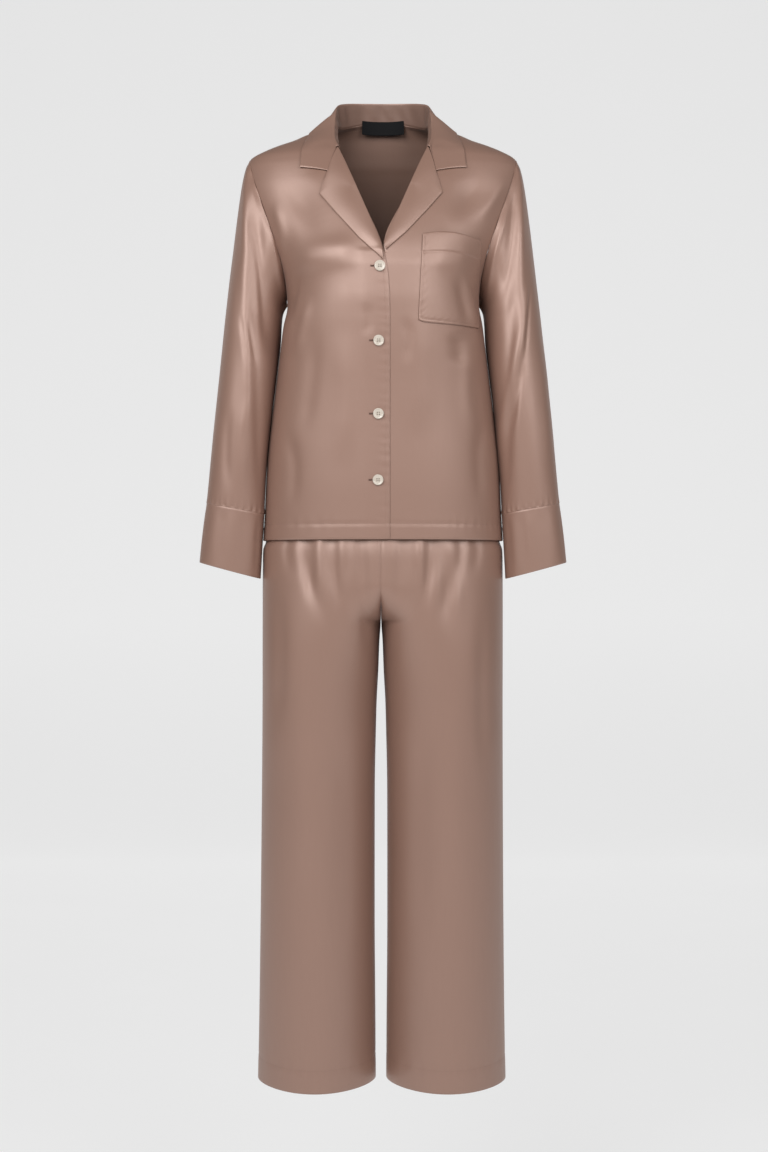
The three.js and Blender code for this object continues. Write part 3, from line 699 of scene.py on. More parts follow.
    def _lay_out(self) -> Grid:
        """Each grid point's place on the flat cloth, in metres, with one column more."""
        points = self.points
        if self.closed:
            points = np.concatenate([points, points[:, :1]], axis=1)
        else:
            points = np.concatenate([points, points[:, -1:]], axis=1)
        steps = np.linalg.norm(np.diff(points, axis=1), axis=-1)
        across = np.concatenate([np.zeros((len(points), 1)), np.cumsum(steps, axis=1)], axis=1)
        across -= across[:, -1:] / 2
        rises = np.linalg.norm(np.diff(points, axis=0), axis=-1)
        along = np.concatenate([np.zeros((1, points.shape[1])), np.cumsum(rises, axis=0)])
        return np.stack([across, along], axis=-1).reshape(-1, 2) * MM


def smooth(piece: bpy.types.Object, angle: float = 62.0) -> None:
    """Shades a piece smooth, apart from edges sharper than the angle in degrees."""
    bpy.ops.object.select_all(action="DESELECT")
    bpy.context.view_layer.objects.active = piece
    piece.select_set(True)
    bpy.ops.object.shade_smooth_by_angle(angle=math.radians(angle))
    piece.select_set(False)


def shares(count: int) -> Grid:
    """Even steps from 0 to 1, ends included."""
    return np.linspace(0, 1, count + 1)


def dress(
    piece: bpy.types.Object, materials: Sequence[bpy.types.Material], slot: str, *nodes: str
) -> None:
    """Gives a piece its materials, and lets it stand for its solids."""
    for material in materials:
        piece.data.materials.append(material)
    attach(piece, "root")
    if nodes:
        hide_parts(*nodes)
    LOG.info("%s: %d faces", piece.name, len(piece.data.polygons))


class Graph:
    """A short way to write a material's or a group's nodes."""

    def __init__(self, tree: bpy.types.NodeTree) -> None:
        """Keeps the node tree that is written to."""
        self.tree = tree

    def add(self, kind: str, **values: object) -> bpy.types.Node:
        """Adds a node and sets its properties.

        Args:
            kind: The node's type without its prefix.
            **values: Properties of the node.

        Returns:
            The new node.
        """
        node = self.tree.nodes.new("ShaderNode" + kind)
        for name, value in values.items():
            setattr(node, name, value)
        return node

    def join(self, source: bpy.types.NodeSocket, target: bpy.types.NodeSocket) -> None:
        """Links an output to an input."""
        self.tree.links.new(source, target)

    def maths(self, operation: str, a: object, b: object) -> bpy.types.NodeSocket:
        """A Math node of two values, each a number or a socket."""
        node = self.add("Math", operation=operation)
        for k, value in enumerate((a, b)):
            if isinstance(value, bpy.types.NodeSocket):
                self.join(value, node.inputs[k])
            else:
                node.inputs[k].default_value = value
        return node.outputs[0]

    def noise(self, vector: bpy.types.NodeSocket, scale: float, detail: float) -> bpy.types.NodeSocket:
        """A noise texture's value over the given coordinates."""
        node = self.add("TexNoise")
        node.inputs["Scale"].default_value = scale
        node.inputs["Detail"].default_value = detail
        self.join(vector, node.inputs["Vector"])
        return node.outputs["Fac"]

    def stretched(self, vector: bpy.types.NodeSocket, scale: Sequence[float]) -> bpy.types.NodeSocket:
        """The coordinates, scaled differently each way."""
        node = self.add("Mapping")
        node.inputs["Scale"].default_value = scale
        self.join(vector, node.inputs["Vector"])
        return node.outputs["Vector"]


def new_group(name: str, inputs: Sequence[tuple[str, str]], outputs: Sequence[tuple[str, str]]) -> tuple:
    """Makes a shader node group with named sockets.

    Args:
        name: The group's name.
        inputs: Name and kind of each input socket.
        outputs: Name and kind of each output socket.

    Returns:
        The group, its graph, its input node and its output node.
    """
    group = bpy.data.node_groups.new(name, "ShaderNodeTree")
    for label, kind in inputs:
        group.interface.new_socket(label, in_out="INPUT", socket_type="NodeSocket" + kind)
    for label, kind in outputs:
        group.interface.new_socket(label, in_out="OUTPUT", socket_type="NodeSocket" + kind)
    start, end = group.nodes.new("NodeGroupInput"), group.nodes.new("NodeGroupOutput")
    return group, Graph(group), start, end


def satin_weave() -> bpy.types.NodeTree:
    """Fine floats of a satin weave, and the slubs that run along them.

    Returns:
        A group with Floats, a height, and Slubs, a mask.
    """
    sockets = [("Vector", "Vector"), ("Fineness", "Float")]
    outputs = [("Floats", "Float"), ("Slubs", "Float")]
    group, graph, start, end = new_group("satin_weave", sockets, outputs)
    scaled = graph.add("VectorMath", operation="SCALE")
    graph.join(start.outputs["Vector"], scaled.inputs[0])
    graph.join(start.outputs["Fineness"], scaled.inputs["Scale"])
    threads = graph.noise(graph.stretched(scaled.outputs[0], (1, 0.12, 1)), 1.0, 1.0)
    slubs = graph.noise(graph.stretched(scaled.outputs[0], (0.06, 0.006, 1)), 1.0, 2.0)
    graph.join(threads, end.inputs["Floats"])
    graph.join(slubs, end.inputs["Slubs"])
    return group


def cloth_tone() -> bpy.types.NodeTree:
    """Slow changes of tone over a piece of cloth.

    Returns:
        A group with Color and Tone, a mask from 0 to 1.
    """
    inputs = [("Vector", "Vector"), ("Color", "Color"), ("Deep", "Color"), ("Amount", "Float")]
    outputs = [("Color", "Color"), ("Tone", "Float")]
    group, graph, start, end = new_group("cloth_tone", inputs, outputs)
    wide = graph.noise(start.outputs["Vector"], 5.0, 2.0)
    tone = graph.maths("MULTIPLY", wide, start.outputs["Amount"])
    blend = graph.add("Mix", data_type="RGBA")
    graph.join(tone, blend.inputs["Factor"])
    graph.join(start.outputs["Color"], blend.inputs["A"])
    graph.join(start.outputs["Deep"], blend.inputs["B"])
    graph.join(blend.outputs["Result"], end.inputs["Color"])
    graph.join(wide, end.inputs["Tone"])
    return group


@dataclass(frozen=True)
class SatinFinish:
    """Satin cloth: smooth and glossy, with a soft broad sheen."""

    name: str
    colour: tuple[float, float, float]
    deep: tuple[float, float, float]
    roughness: float = 0.4
    sheen: float = 0.2
    specular: float = 0.95
    metallic: float = 0.2
    fineness: float = 3600.0
    bump: float = 0.05

    def material(self, weave: bpy.types.NodeTree, tone: bpy.types.NodeTree) -> bpy.types.Material:
        """Makes the material.

        Args:
            weave: The weave's node group.
            tone: The cloth tone's node group.

        Returns:
            A material that reads the piece's UV map and Object coordinates.
        """
        made = bpy.data.materials.new(self.name)
        made.use_nodes = True
        graph = Graph(made.node_tree)
        shader = made.node_tree.nodes["Principled BSDF"]
        coordinates = graph.add("TexCoord")
        threads = graph.add("Group", node_tree=weave)
        threads.inputs["Fineness"].default_value = self.fineness
        graph.join(coordinates.outputs["UV"], threads.inputs["Vector"])
        shade = graph.add("Group", node_tree=tone)
        shade.inputs["Color"].default_value = (*self.colour, 1)
        shade.inputs["Deep"].default_value = (*self.deep, 1)
        shade.inputs["Amount"].default_value = 0.35
        graph.join(coordinates.outputs["Object"], shade.inputs["Vector"])
        streaks = graph.add("Mix", data_type="RGBA")
        graph.join(graph.maths("MULTIPLY", threads.outputs["Slubs"], 0.16), streaks.inputs["Factor"])
        graph.join(shade.outputs["Color"], streaks.inputs["A"])
        streaks.inputs["B"].default_value = (*self.deep, 1)
        graph.join(streaks.outputs["Result"], shader.inputs["Base Color"])
        rough = graph.maths("MULTIPLY", threads.outputs["Slubs"], 0.08)
        graph.join(graph.maths("ADD", rough, self.roughness - 0.04), shader.inputs["Roughness"])
        bump = graph.add("Bump")
        bump.inputs["Strength"].default_value = self.bump
        bump.inputs["Distance"].default_value = 0.0002
        graph.join(threads.outputs["Floats"], bump.inputs["Height"])
        graph.join(bump.outputs["Normal"], shader.inputs["Normal"])
        shader.inputs["Sheen Weight"].default_value = self.sheen
        shader.inputs["Sheen Roughness"].default_value = 0.35
        shader.inputs["Sheen Tint"].default_value = (1.0, 0.86, 0.8, 1)
        shader.inputs["Specular IOR Level"].default_value = self.specular
        shader.inputs["Metallic"].default_value = self.metallic
        shader.inputs["Anisotropic"].default_value = 0.45
        return made


@dataclass(frozen=True)
class PlainFinish:
    """A plain finish with a little grain, for buttons, thread, the label and the backdrop."""

    name: str
    colour: tuple[float, float, float]
    deep: tuple[float, float, float]
    roughness: float
    grain: float
    bump: float = 0.0
    coat: float = 0.0
    glow: float = 0.0
    specular: float = 0.5

    def material(self) -> bpy.types.Material:
        """Makes the material, which reads Object coordinates."""
        made = bpy.data.materials.new(self.name)
        made.use_nodes = True
        graph = Graph(made.node_tree)
        shader = made.node_tree.nodes["Principled BSDF"]
        coordinates = graph.add("TexCoord")
        grain = graph.noise(coordinates.outputs["Object"], self.grain, 3.0)
        blend = graph.add("Mix", data_type="RGBA")
        graph.join(grain, blend.inputs["Factor"])
        blend.inputs["A"].default_value = (*self.colour, 1)
        blend.inputs["B"].default_value = (*self.deep, 1)
        graph.join(blend.outputs["Result"], shader.inputs["Base Color"])
        graph.join(
            graph.maths("ADD", graph.maths("MULTIPLY", grain, 0.12), self.roughness - 0.06),
            shader.inputs["Roughness"],
        )
        if self.bump:
            bump = graph.add("Bump")
            bump.inputs["Strength"].default_value = self.bump
            bump.inputs["Distance"].default_value = 0.0002
            graph.join(grain, bump.inputs["Height"])
            graph.join(bump.outputs["Normal"], shader.inputs["Normal"])
        shader.inputs["Specular IOR Level"].default_value = self.specular
        shader.inputs["Coat Weight"].default_value = self.coat
        shader.inputs["Coat Roughness"].default_value = 0.15
        shader.inputs["Emission Color"].default_value = (1.0, 1.0, 1.0, 1)
        shader.inputs["Emission Strength"].default_value = self.glow
        return made


@dataclass
class Wardrobe:
    """The finishes that the pieces share."""

    cloth: list[bpy.types.Material] = field(init=False)
    thread: bpy.types.Material = field(init=False)
    label: bpy.types.Material = field(init=False)
    button: bpy.types.Material = field(init=False)
    button_thread: bpy.types.Material = field(init=False)
    hole_thread: bpy.types.Material = field(init=False)

    def __post_init__(self) -> None:
        """Makes each material once."""
        weave, tone = satin_weave(), cloth_tone()
        face = SatinFinish(
            "rose_satin",
            (0.325, 0.19, 0.143),
            (0.255, 0.144, 0.107),
            roughness=0.44,
            sheen=0.05,
        )
        # Second finish: the satin's matte reverse, its colour made darker still as painted shade for the
        # garment's inside faces and the collar's inner stand.
        back = SatinFinish(
            "rose_satin_reverse",
            (0.2, 0.116, 0.087),
            (0.16, 0.092, 0.068),
            roughness=0.6,
            specular=0.35,
            metallic=0,
        )
        self.cloth = [face.material(weave, tone), back.material(weave, tone)]
        self.thread = PlainFinish(
            "rose_thread", (0.3, 0.185, 0.145), (0.25, 0.15, 0.115), 0.6, 900
        ).material()
        self.hole_thread = PlainFinish(
            "hole_thread", (0.2, 0.115, 0.088), (0.15, 0.086, 0.064), 0.7, 900
        ).material()
        self.label = PlainFinish(
            "black_label", (0.003, 0.003, 0.0035), (0.008, 0.008, 0.009), 0.75, 2600, 0.3, specular=0.15
        ).material()
        self.button = PlainFinish(
            "cream_button", (0.66, 0.6, 0.52), (0.5, 0.43, 0.36), 0.3, 190, coat=0.5
        ).material()
        self.button_thread = PlainFinish(
            "cream_thread", (0.6, 0.52, 0.44), (0.45, 0.38, 0.31), 0.6, 1500
        ).material()


@dataclass
class Stitching:
    """Rows of short stitches, joined to one mesh."""

    name: str
    pitch: float = 3.2
    length: float = 2.3
    half: float = 0.24
    rows: list[tuple[Grid, Grid]] = field(default_factory=list)

    def row(self, points: Grid, normals: Grid) -> None:
        """Adds a row of stitches along a line that lies on the cloth."""
        steps = np.linalg.norm(np.diff(points, axis=0), axis=1)
        at = np.concatenate([[0], np.cumsum(steps)])
        centres = np.arange(self.pitch / 2, at[-1], self.pitch)
        place = np.stack([np.interp(centres, at, points[:, k]) for k in range(3)], -1)
        ahead = np.stack([np.interp(centres + 0.5, at, points[:, k]) for k in range(3)], -1)
        behind = np.stack([np.interp(centres - 0.5, at, points[:, k]) for k in range(3)], -1)
        out = unit(np.stack([np.interp(centres, at, normals[:, k]) for k in range(3)], -1))
        self.rows.append((place + out * 0.08, np.stack([unit(ahead - behind), out], 1)))

    def across(self, shell: Shell, height: float, columns: Grid) -> None:
        """Adds a row at one height of a piece of cloth, from 0 at its low edge to 1 at its top."""
        self.row(*shell.sampled(np.full(len(columns), height), columns))

    def build(self) -> bpy.types.Object:
        """Makes one slim rounded body for each stitch.

        Returns:
            The new object, at the origin.
        """
        places = np.concatenate([row[0] for row in self.rows])
        axes = np.concatenate([row[1] for row in self.rows])
        way, out = axes[:, 0], axes[:, 1]
        across = unit(np.cross(way, out))
        offsets = [(-0.5, 0, -0.6)]
        for t in (-0.3, 0.3):
            offsets += [(t, 1, 0), (t, 0, 1), (t, -1, 0), (t, 0, -1)]
        offsets.append((0.5, 0, -0.6))
        points = np.stack(
            [
                places + way * (t * self.length) + across * (a * self.half) + out * (b * self.half)
                for t, a, b in offsets
            ],
            axis=1,
        )
        shape = []
        for k in range(4):
            n = (k + 1) % 4
            shape.append((0, 1 + n, 1 + k, 1 + k))
            shape.append((1 + k, 1 + n, 5 + n, 5 + k))
            shape.append((9, 5 + k, 5 + n, 5 + n))
        faces = []
        for i in range(len(places)):
            faces += [tuple(dict.fromkeys(10 * i + v for v in quad)) for quad in shape]
        mesh = bpy.data.meshes.new(self.name)
        mesh.from_pydata((points.reshape(-1, 3) * MM).tolist(), [], faces)
        piece = bpy.data.objects.new(self.name, mesh)
        bpy.context.scene.collection.objects.link(piece)
        smooth(piece, 80)
        return piece


@dataclass
class ShirtBody:
    """The two fronts and the back."""

    columns: int = 64
    rows: int = 240
    hem_stitch: float = 22.0
    neck_stitch: float = 6.8
    creases: tuple[Crease, ...] = CHEST_CREASES
    back_creases: tuple[Crease, ...] = BACK_CREASES
    fronts: dict[Side, Shell] = field(default_factory=dict)

    def front(self, side: Side) -> Shell:
        """One front, from the side seam to its edge, neck seam or roll line."""
        edge = RIGHT_EDGE if side is Side.RIGHT else LEFT_EDGE
        z = mix(HEM_Z, FRONT_TOP_Z, shares(self.rows))[:, None]
        first = side_angle(-1, z)
        last = angle_at(side.value * edge("x", z), z)
        points = shirt_point(side.value, -1, mix(first, last, shares(self.columns)[None, :]), z)
        if side is Side.RIGHT:
            points[..., 1] -= lap_lift(points[..., 0], points[..., 2])
        shell = Shell(f"front_{side.word}_cloth", points)
        shell.facing(self.rows // 2, self.columns // 2, (0, -1, 0))
        relief = relief_of(points, self.creases)
        relief += self._hem(points)
        if side is Side.RIGHT:
            relief += self._placket(points)
        self.fronts[side] = shell.raised(relief)
        return shell

    def back(self) -> Shell:
        """The back, from one side seam to the other."""
        z = mix(HEM_Z, NECK_SIDE_Z, shares(self.rows))[:, None]
        first = side_angle(1, z)
        points = shirt_point(1, 1, mix(first, math.pi - first, shares(2 * self.columns)[None, :]), z)
        shell = Shell("back_cloth", points).facing(self.rows // 2, self.columns, (0, 1, 0))
        below_neck = (NECK_SIDE_Z - z) - self.neck_stitch
        ridge = 0.35 * near(below_neck, 1.2)
        return shell.raised(relief_of(points, self.back_creases) + self._hem(points) + ridge)

    def _hem(self, points: Grid) -> Grid:
        """The turned hem: a fine valley at its stitches, with small uneven puckers."""
        up = points[..., 2] - HEM_Z - self.hem_stitch
        pucker = uneven(points[..., 0] * 1.1 + points[..., 1] * 0.4, 15, 5)
        valley = -0.45 * near(up, 1.8)
        return valley + 0.4 * pucker * near(up, 9) + 0.25 * ramp(0, -4, up)

    def _placket(self, points: Grid) -> Grid:
        """The stitched edge of the front that lies on top."""
        in_from_edge = RIGHT_EDGE("x", points[..., 2]) - points[..., 0]
        below_break = ramp(-238, -262, points[..., 2])
        off = in_from_edge - PLACKET_STITCH
        valley = -0.4 * near(off, 1.6)
        pucker = 0.26 * uneven(points[..., 2] + 0.3 * points[..., 0], 14, 11) * near(off, 7)
        return (valley + pucker) * below_break

    def build(self, wear: Wardrobe, sewing: Stitching) -> None:
        """Builds and dresses the three panels and stitches their hem and edge."""
        across = shares(STITCH_LINE)
        for side in Side:
            shell = self.front(side)
            piece = shell.build()
            dress(piece, wear.cloth, "satin", f"front_{side.word}")
            sewing.across(shell, self.hem_stitch / (FRONT_TOP_Z - HEM_Z), across)
        shell = self.back()
        piece = shell.build()
        dress(piece, wear.cloth, "satin", "back")
        sewing.across(shell, self.hem_stitch / (NECK_SIDE_Z - HEM_Z), across)
        at = 1 - self.neck_stitch / (NECK_SIDE_Z - HEM_Z)
        inside, normals = shell.sampled(np.full(len(across), at), mix(0.06, 0.94, across), -WALL)
        sewing.row(inside, -normals)
        self._stitch_placket(sewing)

    def _stitch_placket(self, sewing: Stitching) -> None:
        """Stitches down the right front, beside its edge."""
        z = np.linspace(HEM_Z + 2, PLACKET_TOP_Z, 300)
        first = side_angle(-1, z)
        edge = RIGHT_EDGE("x", z)
        last = angle_at(-edge, z)
        wanted = angle_at(-(edge - PLACKET_STITCH), z)
        across = (wanted - first) / (last - first)
        rows = (z - HEM_Z) / (FRONT_TOP_Z - HEM_Z)
        sewing.row(*self.fronts[Side.RIGHT].sampled(rows, across))


@dataclass
class Sleeves:
    """Both sleeves and their cuffs."""

    columns: int = 132
    rows: int = 170
    cuff_rows: int = 34
    creases: tuple[Crease, ...] = (
        Crease(((210, -280), (188, -396), (174, -480), (172, -566)), 6.5, 2.6),
        Crease(((207, -352), (197, -411), (182, -496)), 6, -3.2),
        Crease(((197, -92), (187, -212), (170, -300)), 10, -6.5, fade=0.3),
        Crease(((184, -146), (161, -233), (151, -300)), 4, 2.0),
        Crease(((218, -250), (212, -310), (205, -388)), 2.6, -1.5),
        Crease(((212, -250), (206, -310), (199, -380)), 5, 1.4),
        Crease(((232, -330), (238, -430), (246, -540)), 9, 1.6),
        Crease(((-212, -204), (-214, -290), (-217, -372)), 13, 2.0),
        Crease(((-190, -122), (-178, -239), (-161, -388)), 12, -7.5, fade=0.3),
        Crease(((-207, -302), (-203, -340), (-197, -388)), 2.6, -1.3),
        Crease(((-197, -306), (-192, -340), (-184, -388)), 2.6, -1.4),
        Crease(((-168, -165), (-156, -228), (-144, -292)), 4, 1.9),
        Crease(((-196, -420), (-205, -490), (-203, -575)), 8, 2.2),
        Crease(((-222, -440), (-228, -500), (-226, -572)), 7, -1.8),
        Crease(((196, -110), (188, -220), (172, -330)), 9, -3.4, Face.BACK),
        Crease(((214, -250), (205, -380), (196, -520)), 8, 2.6, Face.BACK),
        Crease(((232, -380), (240, -470), (243, -560)), 8, -2.2, Face.BACK),
        Crease(((-192, -110), (-185, -230), (-166, -350)), 9, -3.6, Face.BACK),
        Crease(((-212, -270), (-202, -400), (-198, -540)), 8, 2.4, Face.BACK),
        Crease(((-228, -340), (-236, -440), (-240, -550)), 8, -2.0, Face.BACK),
    )
    folds: tuple[tuple[float, ...], ...] = (
        (38, 128, 1.2, 7.6, 15, -3.6),
        (66, 150, 2.6, 8, 14, 3),
        (-50, -118, 1.5, 7, 18, -3),
    )

    @staticmethod
    def ring_point(table: Table, ring: Grid, angle: Grid) -> Grid:
        """A point on a ring. Angle 0 is the outer point and a right angle is the front."""
        across, deep = power(np.cos(angle), 0.95), power(np.sin(angle), 0.95)
        out_x, in_x = table("out_x", ring), table("in_x", ring)
        out_z, in_z = table("out_z", ring), table("in_z", ring)
        return stacked(
            (out_x + in_x) / 2 + (out_x - in_x) / 2 * across,
            table("mid", ring) - table("half", ring) * deep,
            (out_z + in_z) / 2 + (out_z - in_z) / 2 * across,
        )

    @staticmethod
    def armhole_point(angle: Grid) -> Grid:
        """The armhole's edge, with the sleeve's first ring a seam gap away from it."""
        middle, reach = (SHOULDER_TIP_Z + UNDERARM_Z) / 2, (SHOULDER_TIP_Z - UNDERARM_Z) / 2
        z = middle + reach * np.cos(angle)
        face = np.where(np.sin(angle) < 0, 1, -1)
        point = shirt_point(1, face, side_angle(face, z), z)
        clear = SEAM_GAP + 0.15
        down = 0.7 * np.maximum(np.cos(angle), 0) ** 4
        y = np.where(np.abs(np.sin(angle)) < 1e-6, 0, point[..., 1])
        return stacked(point[..., 0] + clear, y, z - clear * down)

    def fold(self, angle: Grid, ring: Grid) -> Grid:
        """The long folds that run down and round the sleeve, as in its solid."""
        degrees = (np.degrees(angle) + 540) % 360 - 180
        depth = np.zeros(np.broadcast(angle, ring).shape)
        for start, end, first, last, width, deep in self.folds:
            along = (ring - first) / (last - first)
            off = (degrees - mix(start, end, along) + 540) % 360 - 180
            ends = ramp(-0.05, 0.3, along) * ramp(1.05, 0.7, along)
            depth = depth + deep * near(off, width) * ends
        return depth

    def sleeve(self, side: Side) -> Shell:
        """One sleeve, from the armhole to the cuff seam."""
        ring = SLEEVE_RINGS * shares(self.rows)[:, None]
        angle = 2 * math.pi * shares(self.columns)[None, :-1]
        points = self.ring_point(SLEEVE, ring, angle)
        change = self.armhole_point(angle) - self.ring_point(SLEEVE, np.zeros((1, 1)), angle)
        points = points + change * (1 - ramp(0, 3, ring))[..., None]
        out = stacked(np.cos(angle) * 0.8, -np.sin(angle), 0 * angle)
        points = points - out * self.fold(angle, ring)[..., None]
        points = points * np.array([side.value, 1, 1])
        shell = Shell(f"sleeve_{side.word}_cloth", points, closed=True)
        shell.facing(self.rows // 2, 0, (side.value, 0, 0))
        relief = relief_of(points, [c for c in self.creases if c.path[0][0] * side.value > 0])
        girth = np.degrees(angle) * 1.1
        above_cuff = SLEEVE_RINGS - ring
        lift = np.where(np.cos(angle) < 0.3, 1.0, 0.7)
        gather = uneven(np.broadcast_to(girth, relief.shape), 17, 21 + side.value)
        relief = relief + 1.1 * gather * near(above_cuff, 0.55) * lift * ramp(0, 0.07, above_cuff)
        cap = uneven(np.broadcast_to(girth, relief.shape), 22, 31 + side.value)
        relief = relief + 0.5 * cap * near(ring, 0.5) * ramp(0, 0.08, ring)
        return shell.raised(relief * self._joined(points.shape[:2]))

    @staticmethod
    def _joined(shape: tuple[int, int]) -> Grid:
        """Fades relief where the first and last columns meet, so that they agree."""
        columns = np.arange(shape[1])
        near = np.minimum(columns, shape[1] - columns) / shape[1]
        return np.broadcast_to(ramp(0, 0.03, near), shape)

    def cuff(self, side: Side) -> Shell:
        """One cuff, sewn to the sleeve's lower edge."""
        ring = CUFF_RINGS * shares(self.cuff_rows)[:, None]
        angle = 2 * math.pi * shares(self.columns)[None, :-1]
        points = self.ring_point(CUFF, ring, angle) * np.array([side.value, 1, 1])
        shell = Shell(f"cuff_{side.word}_cloth", points, closed=True)
        shell.facing(10, 0, (side.value, 0, 0))
        soft = uneven(np.broadcast_to(np.degrees(angle), points.shape[:2]), 38, 41 + side.value)
        relief = 0.8 * soft * ramp(0, 0.5, ring) * ramp(2.3, 1.2, ring)
        return shell.raised(relief * self._joined(points.shape[:2]))

    def build(self, wear: Wardrobe) -> None:
        """Builds and dresses the sleeves and cuffs."""
        for side in Side:
            piece = self.sleeve(side).build()
            dress(piece, wear.cloth, "satin", f"sleeve_{side.word}")
            piece = self.cuff(side).build()
            dress(piece, wear.cloth, "satin", f"cuff_{side.word}")


@dataclass
class CollarAndLapels:
    """The collar, and the turned-out tops of the fronts."""

    parts: int = 168
    spots_at: tuple[float, ...] = (0, 0.14, 0.27, 0.33, 0.4)
    lapel_rows: int = 100
    lapel_columns: int = 24

    def neck_point(self, k: float) -> Grid:
        """Where the collar is sewn on: round the back of the neck, then down the front's seam."""
        if k <= SHOULDER_PART:
            angle = angle_at(COLLAR("neck_x", k), NECK_SIDE_Z)
            seam = shirt_point(1, 1, angle, np.float64(NECK_SIDE_Z), -WALL)
            return seam + np.array([-0.3 * math.cos(angle), 0, 0.45])
        z = COLLAR("neck_z", k)
        x = LEFT_EDGE("x", z)
        point = shirt_point(1, -1, angle_at(x, z), z)
        return np.array([x - WALL - 0.4, point[1] + 0.3, z + 0.5])

    def profile(self, part: float, across: Grid) -> Grid:
        """One line across the collar: up the stand, round the fold and down to the edge.

        Args:
            part: From -7 at the wearer's right notch to 7 at the left one.
            across: Places from 0 at the neck seam to 1 at the outer edge.

        Returns:
            A row of points.
        """
        k, side = abs(part), Side.RIGHT if part < 0 else Side.LEFT
        neck = self.neck_point(k)
        fold = np.array([COLLAR(name, k) for name in ("fold_x", "fold_y", "fold_z")])
        clear = LAP + 1
        edge_x, edge_z = COLLAR("edge_x", k), COLLAR("edge_z", k)
        face = 1 if k < SHOULDER_PART else -1
        edge = off_shirt(1, face, angle_at(edge_x, edge_z), edge_z, clear)
        plan = unit((edge - fold) * np.array([1, 1, 0]))
        inner = mix(neck, fold, 0.88) - plan * 0.9 * (1 - 0.5 * ramp(5, NOTCH_PART, k))
        outer = fold + plan * 2.6 - np.array([0, 0, 1.4])
        spots = np.array([neck, mix(neck, inner, 0.5), inner, fold, outer])
        stand = np.stack([Curve(self.spots_at, spots[:, i])(across) for i in range(3)], -1)
        corner_x, corner_z = NOTCH[side]
        cut = off_shirt(1, -1, angle_at(corner_x, corner_z), np.float64(corner_z), clear)
        notch = ramp(6.1, NOTCH_PART, k)
        middle = mix(mix(outer, edge, 0.5), cut, notch)
        fall_at = self.spots_at[-1]
        s = np.clip((across - fall_at) / (1 - fall_at), 0, 1)[:, None]
        straight = np.where(s < 0.5, mix(outer, middle, 2 * s), mix(middle, edge, 2 * s - 1))
        bent = middle * 2 - (outer + edge) / 2
        curved = outer * (1 - s) ** 2 + bent * 2 * s * (1 - s) + edge * s**2
        fall = mix(curved, straight, ramp(0.6, 1, notch))
        s = s[:, 0]
        fall[:, 2] += COLLAR("loft", k) * np.sin(math.pi * s) * (1 - notch)
        lowest = resting_height(fall[:, 0], fall[:, 1], clear)
        fall[:, 2] = np.maximum(fall[:, 2], mix(fall[:, 2], lowest, ramp(0, 0.25, s)))
        points = np.where(across[:, None] <= fall_at, stand, fall)
        return points * np.array([side.value, 1, 1])

    def collar(self) -> Shell:
        """The whole collar in one piece."""
        stretches = [np.linspace(0, 0.27, 12), np.linspace(0.27, 0.42, 22), np.linspace(0.42, 1, 40)]
        across = np.unique(np.concatenate([*stretches, [0.7]]))
        places = np.linspace(-NOTCH_PART, NOTCH_PART, self.parts + 1)
        shell = Shell("collar_cloth", np.array([self.profile(part, across) for part in places]))
        # The stand's inward face takes the darker reverse finish, painted shade inside the neck.
        shell.reverse[:, across < 0.29] = True
        part = places[:, None]
        on_stand = ramp(0.02, 0.12, across) * ramp(0.3, 0.2, across)
        wave = uneven(40 * part + 45 * across, 38, 81) * on_stand
        on_fall = ramp(0.45, 0.6, across) * ramp(1, 0.85, across) * ramp(6.6, 5, np.abs(part))
        soft = uneven(30 * part, 52, 83) * on_fall
        shell.facing(self.parts // 2, len(across) - 8, (0, 1, 0.3))
        shell.raised(1.1 * wave + 0.5 * soft)
        return shell.facing(self.parts // 2, len(across) - 8, (0, 1, 0.3))

    def lapel(self, side: Side) -> Shell:
        """One lapel, rolled over from the edge of its front."""
        table = np.array(LAPEL[side], float)
        part = LAPEL_PARTS * shares(self.lapel_rows)
        columns = [np.interp(part, table[:, 0], table[:, k])[:, None] for k in range(1, 5)]
        roll_x, roll_z, edge_x, edge_z = columns
        across = shares(self.lapel_columns)
        x = mix(roll_x, edge_x, across)
        z = mix(roll_z, edge_z, across)
        lift = lap_lift(x, z) if side is Side.RIGHT else 0 * x
        loft = 2.2 * np.sin(math.pi * across) + 0.5 + relief_of(stacked(x, -100.0, z), CHEST_CREASES)
        flat = off_shirt(side.value, -1, angle_at(side.value * x, z), z, LAP + lift + loft)
        start = flat[:, :1]
        roll_angle = angle_at(side.value * x[:, :1], z[:, :1])
        base = off_shirt(side.value, -1, roll_angle, z[:, :1], lift[:, :1])
        inward = unit(flat[:, :1] - flat[:, 1:2])
        turn = np.linspace(-0.5, 0.5, 9)[None, :-1, None] * math.pi
        centre, reach = (start + base) / 2, np.linalg.norm(start - base, axis=-1, keepdims=True) / 2
        up = unit(start - base)
        rolled = centre + up * reach * np.sin(turn) + inward * reach * np.cos(turn)
        shell = Shell(f"lapel_{side.word}_cloth", np.concatenate([rolled, flat], axis=1), LAPEL_WALL)
        return shell.facing(50, 20, (0, -1, 0))

    def build(self, wear: Wardrobe) -> None:
        """Builds and dresses the collar and both lapels."""
        piece = self.collar().build()
        dress(piece, wear.cloth, "satin", "collar")
        for side in Side:
            piece = self.lapel(side).build()
            dress(piece, wear.cloth, "satin", f"lapel_{side.word}")


